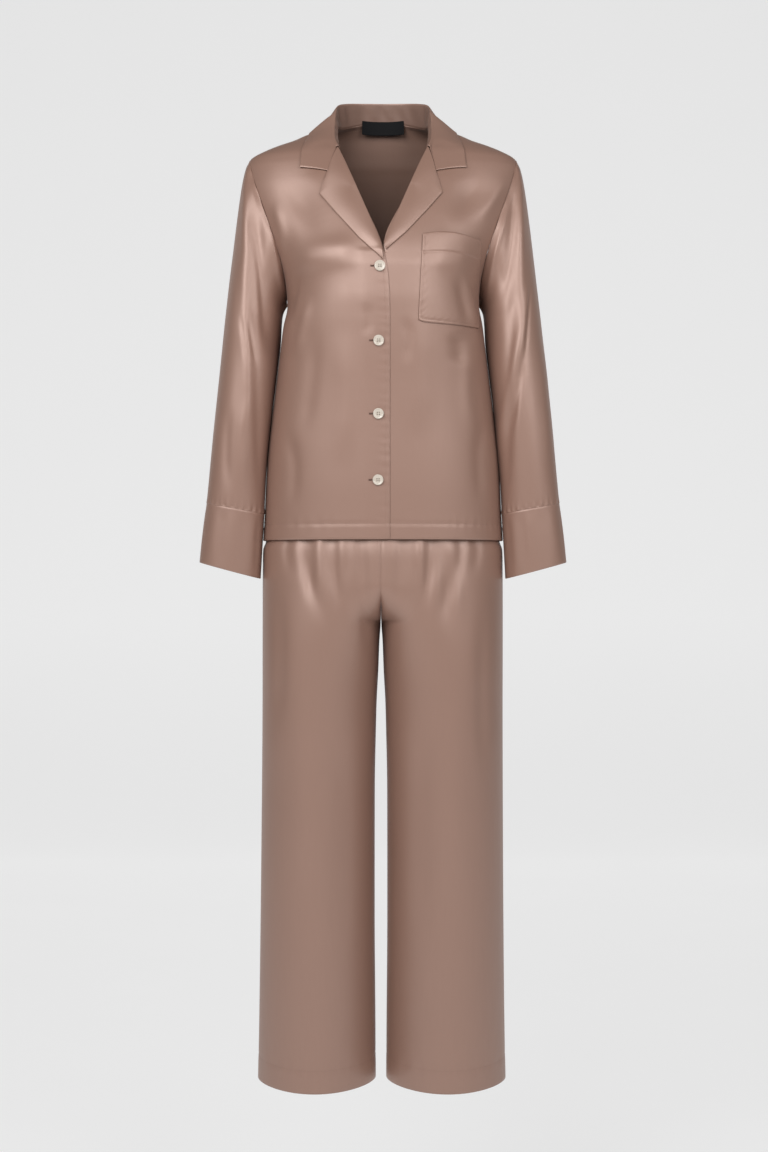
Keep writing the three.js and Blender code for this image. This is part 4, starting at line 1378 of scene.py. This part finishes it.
@dataclass
class BreastPocket:
    """The patch pocket on the wearer's left."""

    band: float = 27.0
    tall: float = 125.0
    stitch: float = 3.2
    columns: int = 56
    rows: int = 84

    def shell(self) -> Shell:
        """The pocket, with its top band and its seam."""
        u = shares(self.columns)[None, :]
        v = shares(self.rows)[:, None]
        x = mix(POCKET("top_x", u), POCKET("low_x", u), v)
        z = mix(POCKET("top_z", u), POCKET("low_z", u), v)
        gape = 2.2 * np.sin(math.pi * u) * ramp(0.2, 0, v)
        points = off_shirt(1, -1, angle_at(x, z), z, LAP + 0.6 + gape)
        shell = Shell("pocket_cloth", points).facing(40, 28, (0, -1, 0))
        down = v * self.tall
        seam = -0.7 * near(down - self.band, 1.3)
        raised = 0.9 * ramp(self.band + 0.8, self.band - 0.8, down)
        edge = np.minimum(np.minimum(u * 86, (1 - u) * 83), (1 - v) * self.tall)
        stitched = -0.4 * near(edge - self.stitch, 1.3) * ramp(0, 6, down)
        pucker = 0.14 * uneven(down + x, 11, 51) * near(edge - 5, 5)
        return shell.raised(seam + raised + stitched + pucker + relief_of(points, CHEST_CREASES))

    def build(self, wear: Wardrobe, sewing: Stitching) -> None:
        """Builds, dresses and stitches the pocket."""
        shell = self.shell()
        piece = shell.build()
        dress(piece, wear.cloth, "satin", "pocket")
        t = shares(120)
        side_u, low_v = self.stitch / 85, 1 - self.stitch / self.tall
        sewing.row(*shell.sampled(mix(0.03, low_v, t), np.full(len(t), side_u)))
        sewing.across(shell, low_v, mix(side_u, 1 - side_u, t))
        sewing.row(*shell.sampled(mix(low_v, 0.03, t), np.full(len(t), 1 - side_u)))


@dataclass
class NeckLabel:
    """A plain black woven label inside the back of the neck."""

    half_width: float = 33.0
    low: float = -11.0
    high: float = 9.6

    def build(self, wear: Wardrobe) -> None:
        """Builds and dresses the label."""
        u, v = shares(40)[None, :], shares(14)[:, None]
        side = angle_at(self.half_width, NECK_SIDE_Z)
        z = mix(self.low, self.high, v)
        angle = mix(side, math.pi - side, u)
        bend = 2 / SHIRT("square", NECK_SIDE_Z)
        inset = WALL + 0.4 + 0.7 * v * (2 * u - 1) ** 2
        x = (SHIRT("side", NECK_SIDE_Z) - inset) * power(np.cos(angle), bend)
        y = (SHIRT("back", NECK_SIDE_Z) - inset) * power(np.sin(angle), bend)
        shell = Shell("neck_label_cloth", stacked(x, y, z + 0 * u), LABEL_WALL)
        piece = shell.facing(7, 20, (0, 1, 0)).build()
        dress(piece, [wear.label, wear.label], "label", "neck_label")


@dataclass
class Buttons:
    """Four four-holed buttons, modelled once and copied."""

    radius: float = 7.6
    height: float = 2.4
    hole: float = 0.85
    spread: float = 1.5
    rim: float = 1.3
    dish: tuple[tuple[float, float], ...] = ((0.7, -0.55), (2.2, -0.12))
    rounding: float = 0.45
    strand: float = 0.34
    holes: Stitching = field(
        default_factory=lambda: Stitching("buttonholes", pitch=0.9, length=1.1, half=0.42)
    )

    def pattern(self) -> bpy.types.Object:
        """One button at the origin, facing +Z, made with a raised rim and four holes.

        Returns:
            The pattern object, which is removed once it has been copied.
        """
        bpy.ops.object.select_all(action="DESELECT")
        bpy.ops.mesh.primitive_cylinder_add(
            vertices=48,
            radius=self.radius * MM,
            depth=self.height * MM,
            location=(0, 0, self.height / 2 * MM),
        )
        disc = bpy.context.object
        bpy.ops.object.transform_apply(location=True, rotation=True, scale=True)
        top = max(v.co.z for v in disc.data.vertices)
        bpy.ops.object.mode_set(mode="EDIT")
        bpy.ops.mesh.select_all(action="DESELECT")
        bpy.ops.object.mode_set(mode="OBJECT")
        for face in disc.data.polygons:
            face.select = face.center.z > top - 1e-6 and face.normal.z > 0.9
        bpy.ops.object.mode_set(mode="EDIT")
        bpy.ops.mesh.select_mode(type="FACE")
        bpy.ops.mesh.inset(thickness=self.rim * MM)
        for inset, depth in self.dish:
            bpy.ops.mesh.inset(thickness=inset * MM, depth=depth * MM)
        bpy.ops.object.mode_set(mode="OBJECT")
        bevel = disc.modifiers.new("rim", "BEVEL")
        bevel.width = self.rounding * MM
        bevel.segments = 3
        bevel.limit_method = "ANGLE"
        bevel.angle_limit = math.radians(28)
        bpy.ops.object.modifier_apply(modifier="rim")
        cutters = []
        for dx, dy in ((-1, -1), (1, -1), (1, 1), (-1, 1)):
            bpy.ops.object.select_all(action="DESELECT")
            bpy.ops.mesh.primitive_cylinder_add(
                vertices=16,
                radius=self.hole * MM,
                depth=3 * self.height * MM,
                location=(dx * self.spread * MM, dy * self.spread * MM, self.height / 2 * MM),
            )
            cutters.append(bpy.context.object)
        for cutter in cutters:
            bpy.ops.object.select_all(action="DESELECT")
            bpy.context.view_layer.objects.active = disc
            disc.select_set(True)
            cut = disc.modifiers.new("hole", "BOOLEAN")
            cut.operation = "DIFFERENCE"
            cut.solver = "EXACT"
            cut.object = cutter
            bpy.ops.object.modifier_apply(modifier="hole")
            bpy.data.objects.remove(cutter)
        return disc

    def thread(self) -> bpy.types.Object:
        """The thread that crosses between the holes, as two short bridges."""
        made = []
        for dx in (-1, 1):
            bpy.ops.object.select_all(action="DESELECT")
            bpy.ops.mesh.primitive_torus_add(
                major_segments=24,
                minor_segments=8,
                major_radius=self.spread * MM,
                minor_radius=self.strand * MM,
                location=(dx * self.spread * MM, 0, (self.height - 1.2) * MM),
                rotation=(0, math.pi / 2, 0),
            )
            made.append(bpy.context.object)
        bpy.ops.object.select_all(action="DESELECT")
        for piece in made:
            piece.select_set(True)
        bpy.context.view_layer.objects.active = made[0]
        bpy.ops.object.join()
        bpy.ops.object.transform_apply(location=True, rotation=True, scale=True)
        return bpy.context.object

    def seat(self, x: float, z: float) -> tuple[Grid, Grid, Grid, Grid]:
        """Where a button sits on the front: its place, and its right, up and outward ways."""

        def surface(px: float, pz: float) -> Grid:
            at = shirt_point(-1, -1, angle_at(-px, pz), np.float64(pz))
            return at - np.array([0, float(lap_lift(px, pz)), 0])

        up = unit(surface(x, z + 5) - surface(x, z - 5))
        out = unit(np.cross(unit(surface(x + 5, z) - surface(x - 5, z)), up))
        return surface(x, z) + out * 0.5, unit(np.cross(up, out)), up, out

    def build(self, wear: Wardrobe) -> None:
        """Copies the pattern and its thread to the four places and dresses them."""
        pattern, thread = self.pattern(), self.thread()
        reach = shares(20)[:, None]
        for i, (x, z) in enumerate(BUTTON_PLACES):
            at, right, up, out = self.seat(x, z)
            for height in (-0.8, 0, 0.8):
                line = at + right * mix(-13.5, -3, reach) + up * height - out * 0.1
                self.holes.row(line, np.broadcast_to(out, line.shape))
            for source, name, material in (
                (pattern, f"button_{i + 1}_disc", wear.button),
                (thread, f"button_{i + 1}_thread", wear.button_thread),
            ):
                mesh = source.data.copy()
                co = np.array([v.co for v in mesh.vertices], float)
                placed = at * MM + co[:, :1] * right + co[:, 1:2] * up + co[:, 2:] * out
                mesh.vertices.foreach_set("co", placed.astype(np.float32).ravel())
                piece = bpy.data.objects.new(name, mesh)
                bpy.context.scene.collection.objects.link(piece)
                smooth(piece, 40)
                nodes = (f"button_{i + 1}",) if source is pattern else ()
                dress(piece, [material], "button", *nodes)
        bpy.data.objects.remove(pattern)
        bpy.data.objects.remove(thread)
        dress(self.holes.build(), [wear.hole_thread], "satin")


def trouser_shift(share: Grid, z: Grid) -> Grid:
    """How far the trousers are moved sideways, 0 being the middle's share and 1 the side's."""
    top, hem = TROUSER_SIDE_SHIFT
    return TROUSER_CENTRE_X + mix(hem, top, ramp(TROUSER_HEM_Z, -700, z)) * share * share


@dataclass
class Trousers:
    """The four leg panels and the waistband."""

    columns: int = 84
    rows: int = 220
    hem_stitch: float = 33.0
    folds: tuple[tuple[float, float, float, float], ...] = (
        (0.47, 0.05, 3.2, -700),
        (0.6, 0.05, 4, -790),
        (0.76, 0.05, 4.2, -760),
        (0.9, 0.04, 3.4, -740),
    )
    creases: tuple[Crease, ...] = (
        Crease(((-103, -600), (-104, -660), (-106, -735)), 7, -1.5),
        Crease(((-69, -600), (-69, -670), (-66, -770)), 6, -1.3),
        Crease(((-51, -600), (-52, -650), (-53, -712)), 5, -1.1),
        Crease(((-29, -600), (-27, -700), (-22, -822)), 7, -2.1),
        Crease(((-90, -600), (-91, -660), (-93, -730)), 6, 1.0),
        Crease(((-41, -600), (-41, -660), (-40, -722)), 4.5, 1.0),
        Crease(((25, -600), (23, -660), (19, -744)), 6, -1.6),
        Crease(((46, -600), (47, -660), (48, -716)), 4, -1.2),
        Crease(((53, -600), (54, -660), (56, -728)), 5, 1.0),
        Crease(((68, -600), (66, -680), (61, -772)), 6, -1.6),
        Crease(((86, -600), (90, -690), (98, -800)), 9, -1.9),
        Crease(((101, -600), (105, -680), (112, -770)), 7, 1.0),
        Crease(((-120, -800), (-112, -960), (-116, -1160)), 22, 2.4),
        Crease(((-60, -860), (-58, -1050), (-64, -1280)), 20, -2.0),
        Crease(((108, -780), (100, -960), (104, -1180)), 22, 2.6),
        Crease(((58, -840), (54, -1020), (62, -1250)), 18, -2.2),
        Crease(((-152, -700), (-148, -800), (-152, -920)), 10, -2.0),
        Crease(((146, -720), (143, -860), (148, -1000)), 10, -2.0),
        Crease(((-98, -600), (-96, -700), (-104, -820)), 10, -3.6, Face.BACK),
        Crease(((-48, -600), (-44, -690), (-40, -800)), 8, -3.2, Face.BACK),
        Crease(((36, -600), (40, -700), (34, -830)), 9, -3.8, Face.BACK),
        Crease(((94, -600), (92, -680), (102, -790)), 10, -3.4, Face.BACK),
        Crease(((-112, -860), (-104, -1040), (-110, -1260)), 22, 2.6, Face.BACK),
        Crease(((102, -820), (108, -1020), (100, -1240)), 22, 2.4, Face.BACK),
    )

    def ease(self, across: Grid, z: Grid) -> Grid:
        """The soft folds below the waistband, as in the solids."""
        depth = np.zeros(np.broadcast(across, z).shape)
        for centre, width, deep, low in self.folds:
            ends = ramp(low, -650, z) * ramp(-500, -600, z)
            depth = depth + deep * near(across - centre, width) * ends
        return depth

    def panel(self, side: Side, face: Face) -> Shell:
        """One panel, from the side seam to the centre seam and inseam."""
        top = BAND_BOTTOM_Z - SEAM_GAP
        z = mix(TROUSER_HEM_Z, top, shares(self.rows))[:, None]
        across = shares(self.columns)[None, :]
        hip, round_ = HIPS("square", z), LEG("square", z)
        name = "front" if face is Face.FRONT else "back"
        hip_depth, leg_depth = HIPS(name, z), LEG(name, z)
        wide, inner = HIPS("side", z), LEG("inner", z)
        hip_x = wide * power(np.cos(across * math.pi / 2), 2 / hip)
        middle, reach = (wide + inner) / 2, (wide - inner) / 2
        leg_x = middle + reach * power(np.cos(across * math.pi), 2 / round_)
        slow = ramp(-640, -850, z)
        drop = np.clip((-700 - z) / (-700 - CROTCH_Z), 0, 1)
        quick = 1 - np.sqrt(1 - drop * drop)
        leg = mix(slow, quick, ramp(0.7, 1, across))
        mixed = mix(hip_x, leg_x, leg)
        hip_share = np.minimum(mixed / wide, 1)
        leg_share = np.minimum(np.abs(mixed - middle) / reach, 1)
        hip_y = hip_depth * np.maximum(1 - hip_share**hip, 0) ** (1 / hip)
        pinch = 1 - LEG("pinch", z) * leg_share**2
        leg_y = pinch * leg_depth * np.maximum(1 - leg_share**round_, 0) ** (1 / round_)
        seam = SEAM_GAP / 2
        y = mix(hip_y, leg_y, leg)
        y = np.where(np.minimum(across, 1 - across) < 0.02, np.maximum(y, seam), y)
        if face is Face.FRONT:
            y = y - self.ease(across, z)
        else:
            y = y - 0.8 * self.ease(across * 0.9 + 0.05, z)
        x = np.maximum(mixed, seam)
        shift = trouser_shift(x / wide, z)
        points = stacked(shift + side.value * x, face.value * np.maximum(y, seam), z)
        shell = Shell(f"trouser_{name}_{side.word}_cloth", points)
        shell.facing(self.rows // 2, self.columns // 2, (0, face.value, 0))
        up = z - TROUSER_HEM_Z - self.hem_stitch
        pucker = uneven(points[..., 0] * 1.1, 19, 61 + side.value)
        hem = -0.45 * near(up, 1.8) + 0.45 * pucker * near(up, 9)
        return shell.raised(relief_of(points, self.creases) + hem + 0.25 * ramp(0, -4, up))

    def waistband(self) -> Shell:
        """The waistband, softly gathered on its elastic."""
        v = shares(16)[:, None]
        angle = 2 * math.pi * shares(360)[None, :-1]
        z = mix(BAND_TOP_Z, BAND_BOTTOM_Z, v)
        bend = 2 / HIPS("square", z)
        depth = np.where(np.sin(angle) < 0, HIPS("front", z), HIPS("back", z))
        x = HIPS("side", z) * power(np.cos(angle), bend)
        shift = trouser_shift(np.abs(x) / HIPS("side", z), z)
        points = stacked(shift + x, depth * power(np.sin(angle), bend), z + 0 * angle)
        shell = Shell("waistband_cloth", points, BAND_WALL, closed=True).facing(8, 0, (1, 0, 0))
        gathers = uneven(np.broadcast_to(np.degrees(angle), points.shape[:2]), 4.2, 71)
        return shell.raised(0.9 * gathers * np.sin(math.pi * v) - 0.6)

    def build(self, wear: Wardrobe, sewing: Stitching) -> None:
        """Builds, dresses and stitches the trousers."""
        across = shares(300)
        for face in Face:
            for side in Side:
                shell = self.panel(side, face)
                piece = shell.build()
                name = "front" if face is Face.FRONT else "back"
                dress(piece, wear.cloth, "satin", f"trouser_{name}_{side.word}")
                tall = BAND_BOTTOM_Z - SEAM_GAP - TROUSER_HEM_Z
                sewing.across(shell, self.hem_stitch / tall, across)
        piece = self.waistband().build()
        dress(piece, wear.cloth, "satin", "waistband")


@dataclass
class Studio:
    """A pale floor that sweeps up behind the part, soft lights, and the camera."""

    floor_z: float = -1.78
    wall_y: float = 4.6
    wall_top: float = 3.0
    bend: float = 0.9
    bend_steps: int = 12
    half_width: float = 6.0
    floor_front: float = -6.0
    camera_y: float = -2.4
    camera_z: float = -0.69
    lens: float = 50.0
    sensor: float = 36.0
    centre_column: float = 383.0
    picture: tuple[int, int] = (768, 1152)
    glow: float = 0.67
    world_strength: float = 0.1
    target: tuple[float, float, float] = (0, 0, -0.35)

    def sweep(self) -> None:
        """Makes the floor and backdrop as one curved sheet."""
        start, centre_z = self.wall_y - self.bend, self.floor_z + self.bend
        profile = [(self.floor_front, self.floor_z), (start, self.floor_z)]
        for step in range(1, self.bend_steps + 1):
            turn = step / self.bend_steps * math.pi / 2
            profile.append((start + self.bend * math.sin(turn), centre_z - self.bend * math.cos(turn)))
        profile.append((self.wall_y, self.wall_top))
        points = [(x, y, z) for y, z in profile for x in (-self.half_width, self.half_width)]
        faces = [(2 * i, 2 * i + 1, 2 * i + 3, 2 * i + 2) for i in range(len(profile) - 1)]
        mesh = bpy.data.meshes.new("backdrop")
        mesh.from_pydata(points, [], faces)
        floor = bpy.data.objects.new("backdrop", mesh)
        bpy.context.scene.collection.objects.link(floor)
        smooth(floor, 60)
        grey, dim = (0.25, 0.25, 0.25), (0.24, 0.24, 0.24)
        paper = PlainFinish("backdrop_paper", grey, dim, 0.9, 3, glow=self.glow)
        floor.data.materials.append(paper.material())

    def light(self, name: str, place: Sequence[float], size: float, watts: float) -> None:
        """Adds a soft square light that looks at the target."""
        lamp = bpy.data.lights.new(name, "AREA")
        lamp.shape = "SQUARE"
        lamp.size = size
        lamp.energy = watts
        made = bpy.data.objects.new(name, lamp)
        made.location = place
        way = Vector(self.target) - Vector(place)
        made.rotation_euler = way.to_track_quat("-Z", "Y").to_euler()
        bpy.context.scene.collection.objects.link(made)

    def build(self) -> None:
        """Sets up the backdrop, the lights, the world and the camera."""
        self.sweep()
        self.light("key", (-1.2, -2.4, 0.9), 2.0, 70)
        self.light("fill", (1.6, -2.4, 0.7), 1.8, 42)
        world = bpy.data.worlds.new("studio")
        world.use_nodes = True
        sky = world.node_tree.nodes["Background"]
        sky.inputs["Color"].default_value = (0.93, 0.93, 0.93, 1)
        sky.inputs["Strength"].default_value = self.world_strength
        bpy.context.scene.world = world
        lens = bpy.data.cameras.new("camera")
        lens.lens = self.lens
        lens.sensor_width = self.sensor
        lens.shift_x = (self.picture[0] / 2 - self.centre_column) / self.picture[1]
        camera = bpy.data.objects.new("camera", lens)
        camera.location = (0, self.camera_y, self.camera_z)
        camera.rotation_euler = (math.pi / 2, 0, 0)
        bpy.context.scene.collection.objects.link(camera)
        bpy.context.scene.camera = camera
        bpy.context.scene.view_settings.view_transform = "Standard"


def main() -> None:
    """Builds the whole set in order."""
    logging.basicConfig(level=logging.INFO, format="%(message)s")
    wear = Wardrobe()
    sewing = Stitching("stitches_rose")
    ShirtBody().build(wear, sewing)
    Sleeves().build(wear)
    CollarAndLapels().build(wear)
    BreastPocket().build(wear, sewing)
    NeckLabel().build(wear)
    Buttons().build(wear)
    Trousers().build(wear, sewing)
    dress(sewing.build(), [wear.thread], "satin")
    Studio().build()


if __name__ == "__main__":
    main()
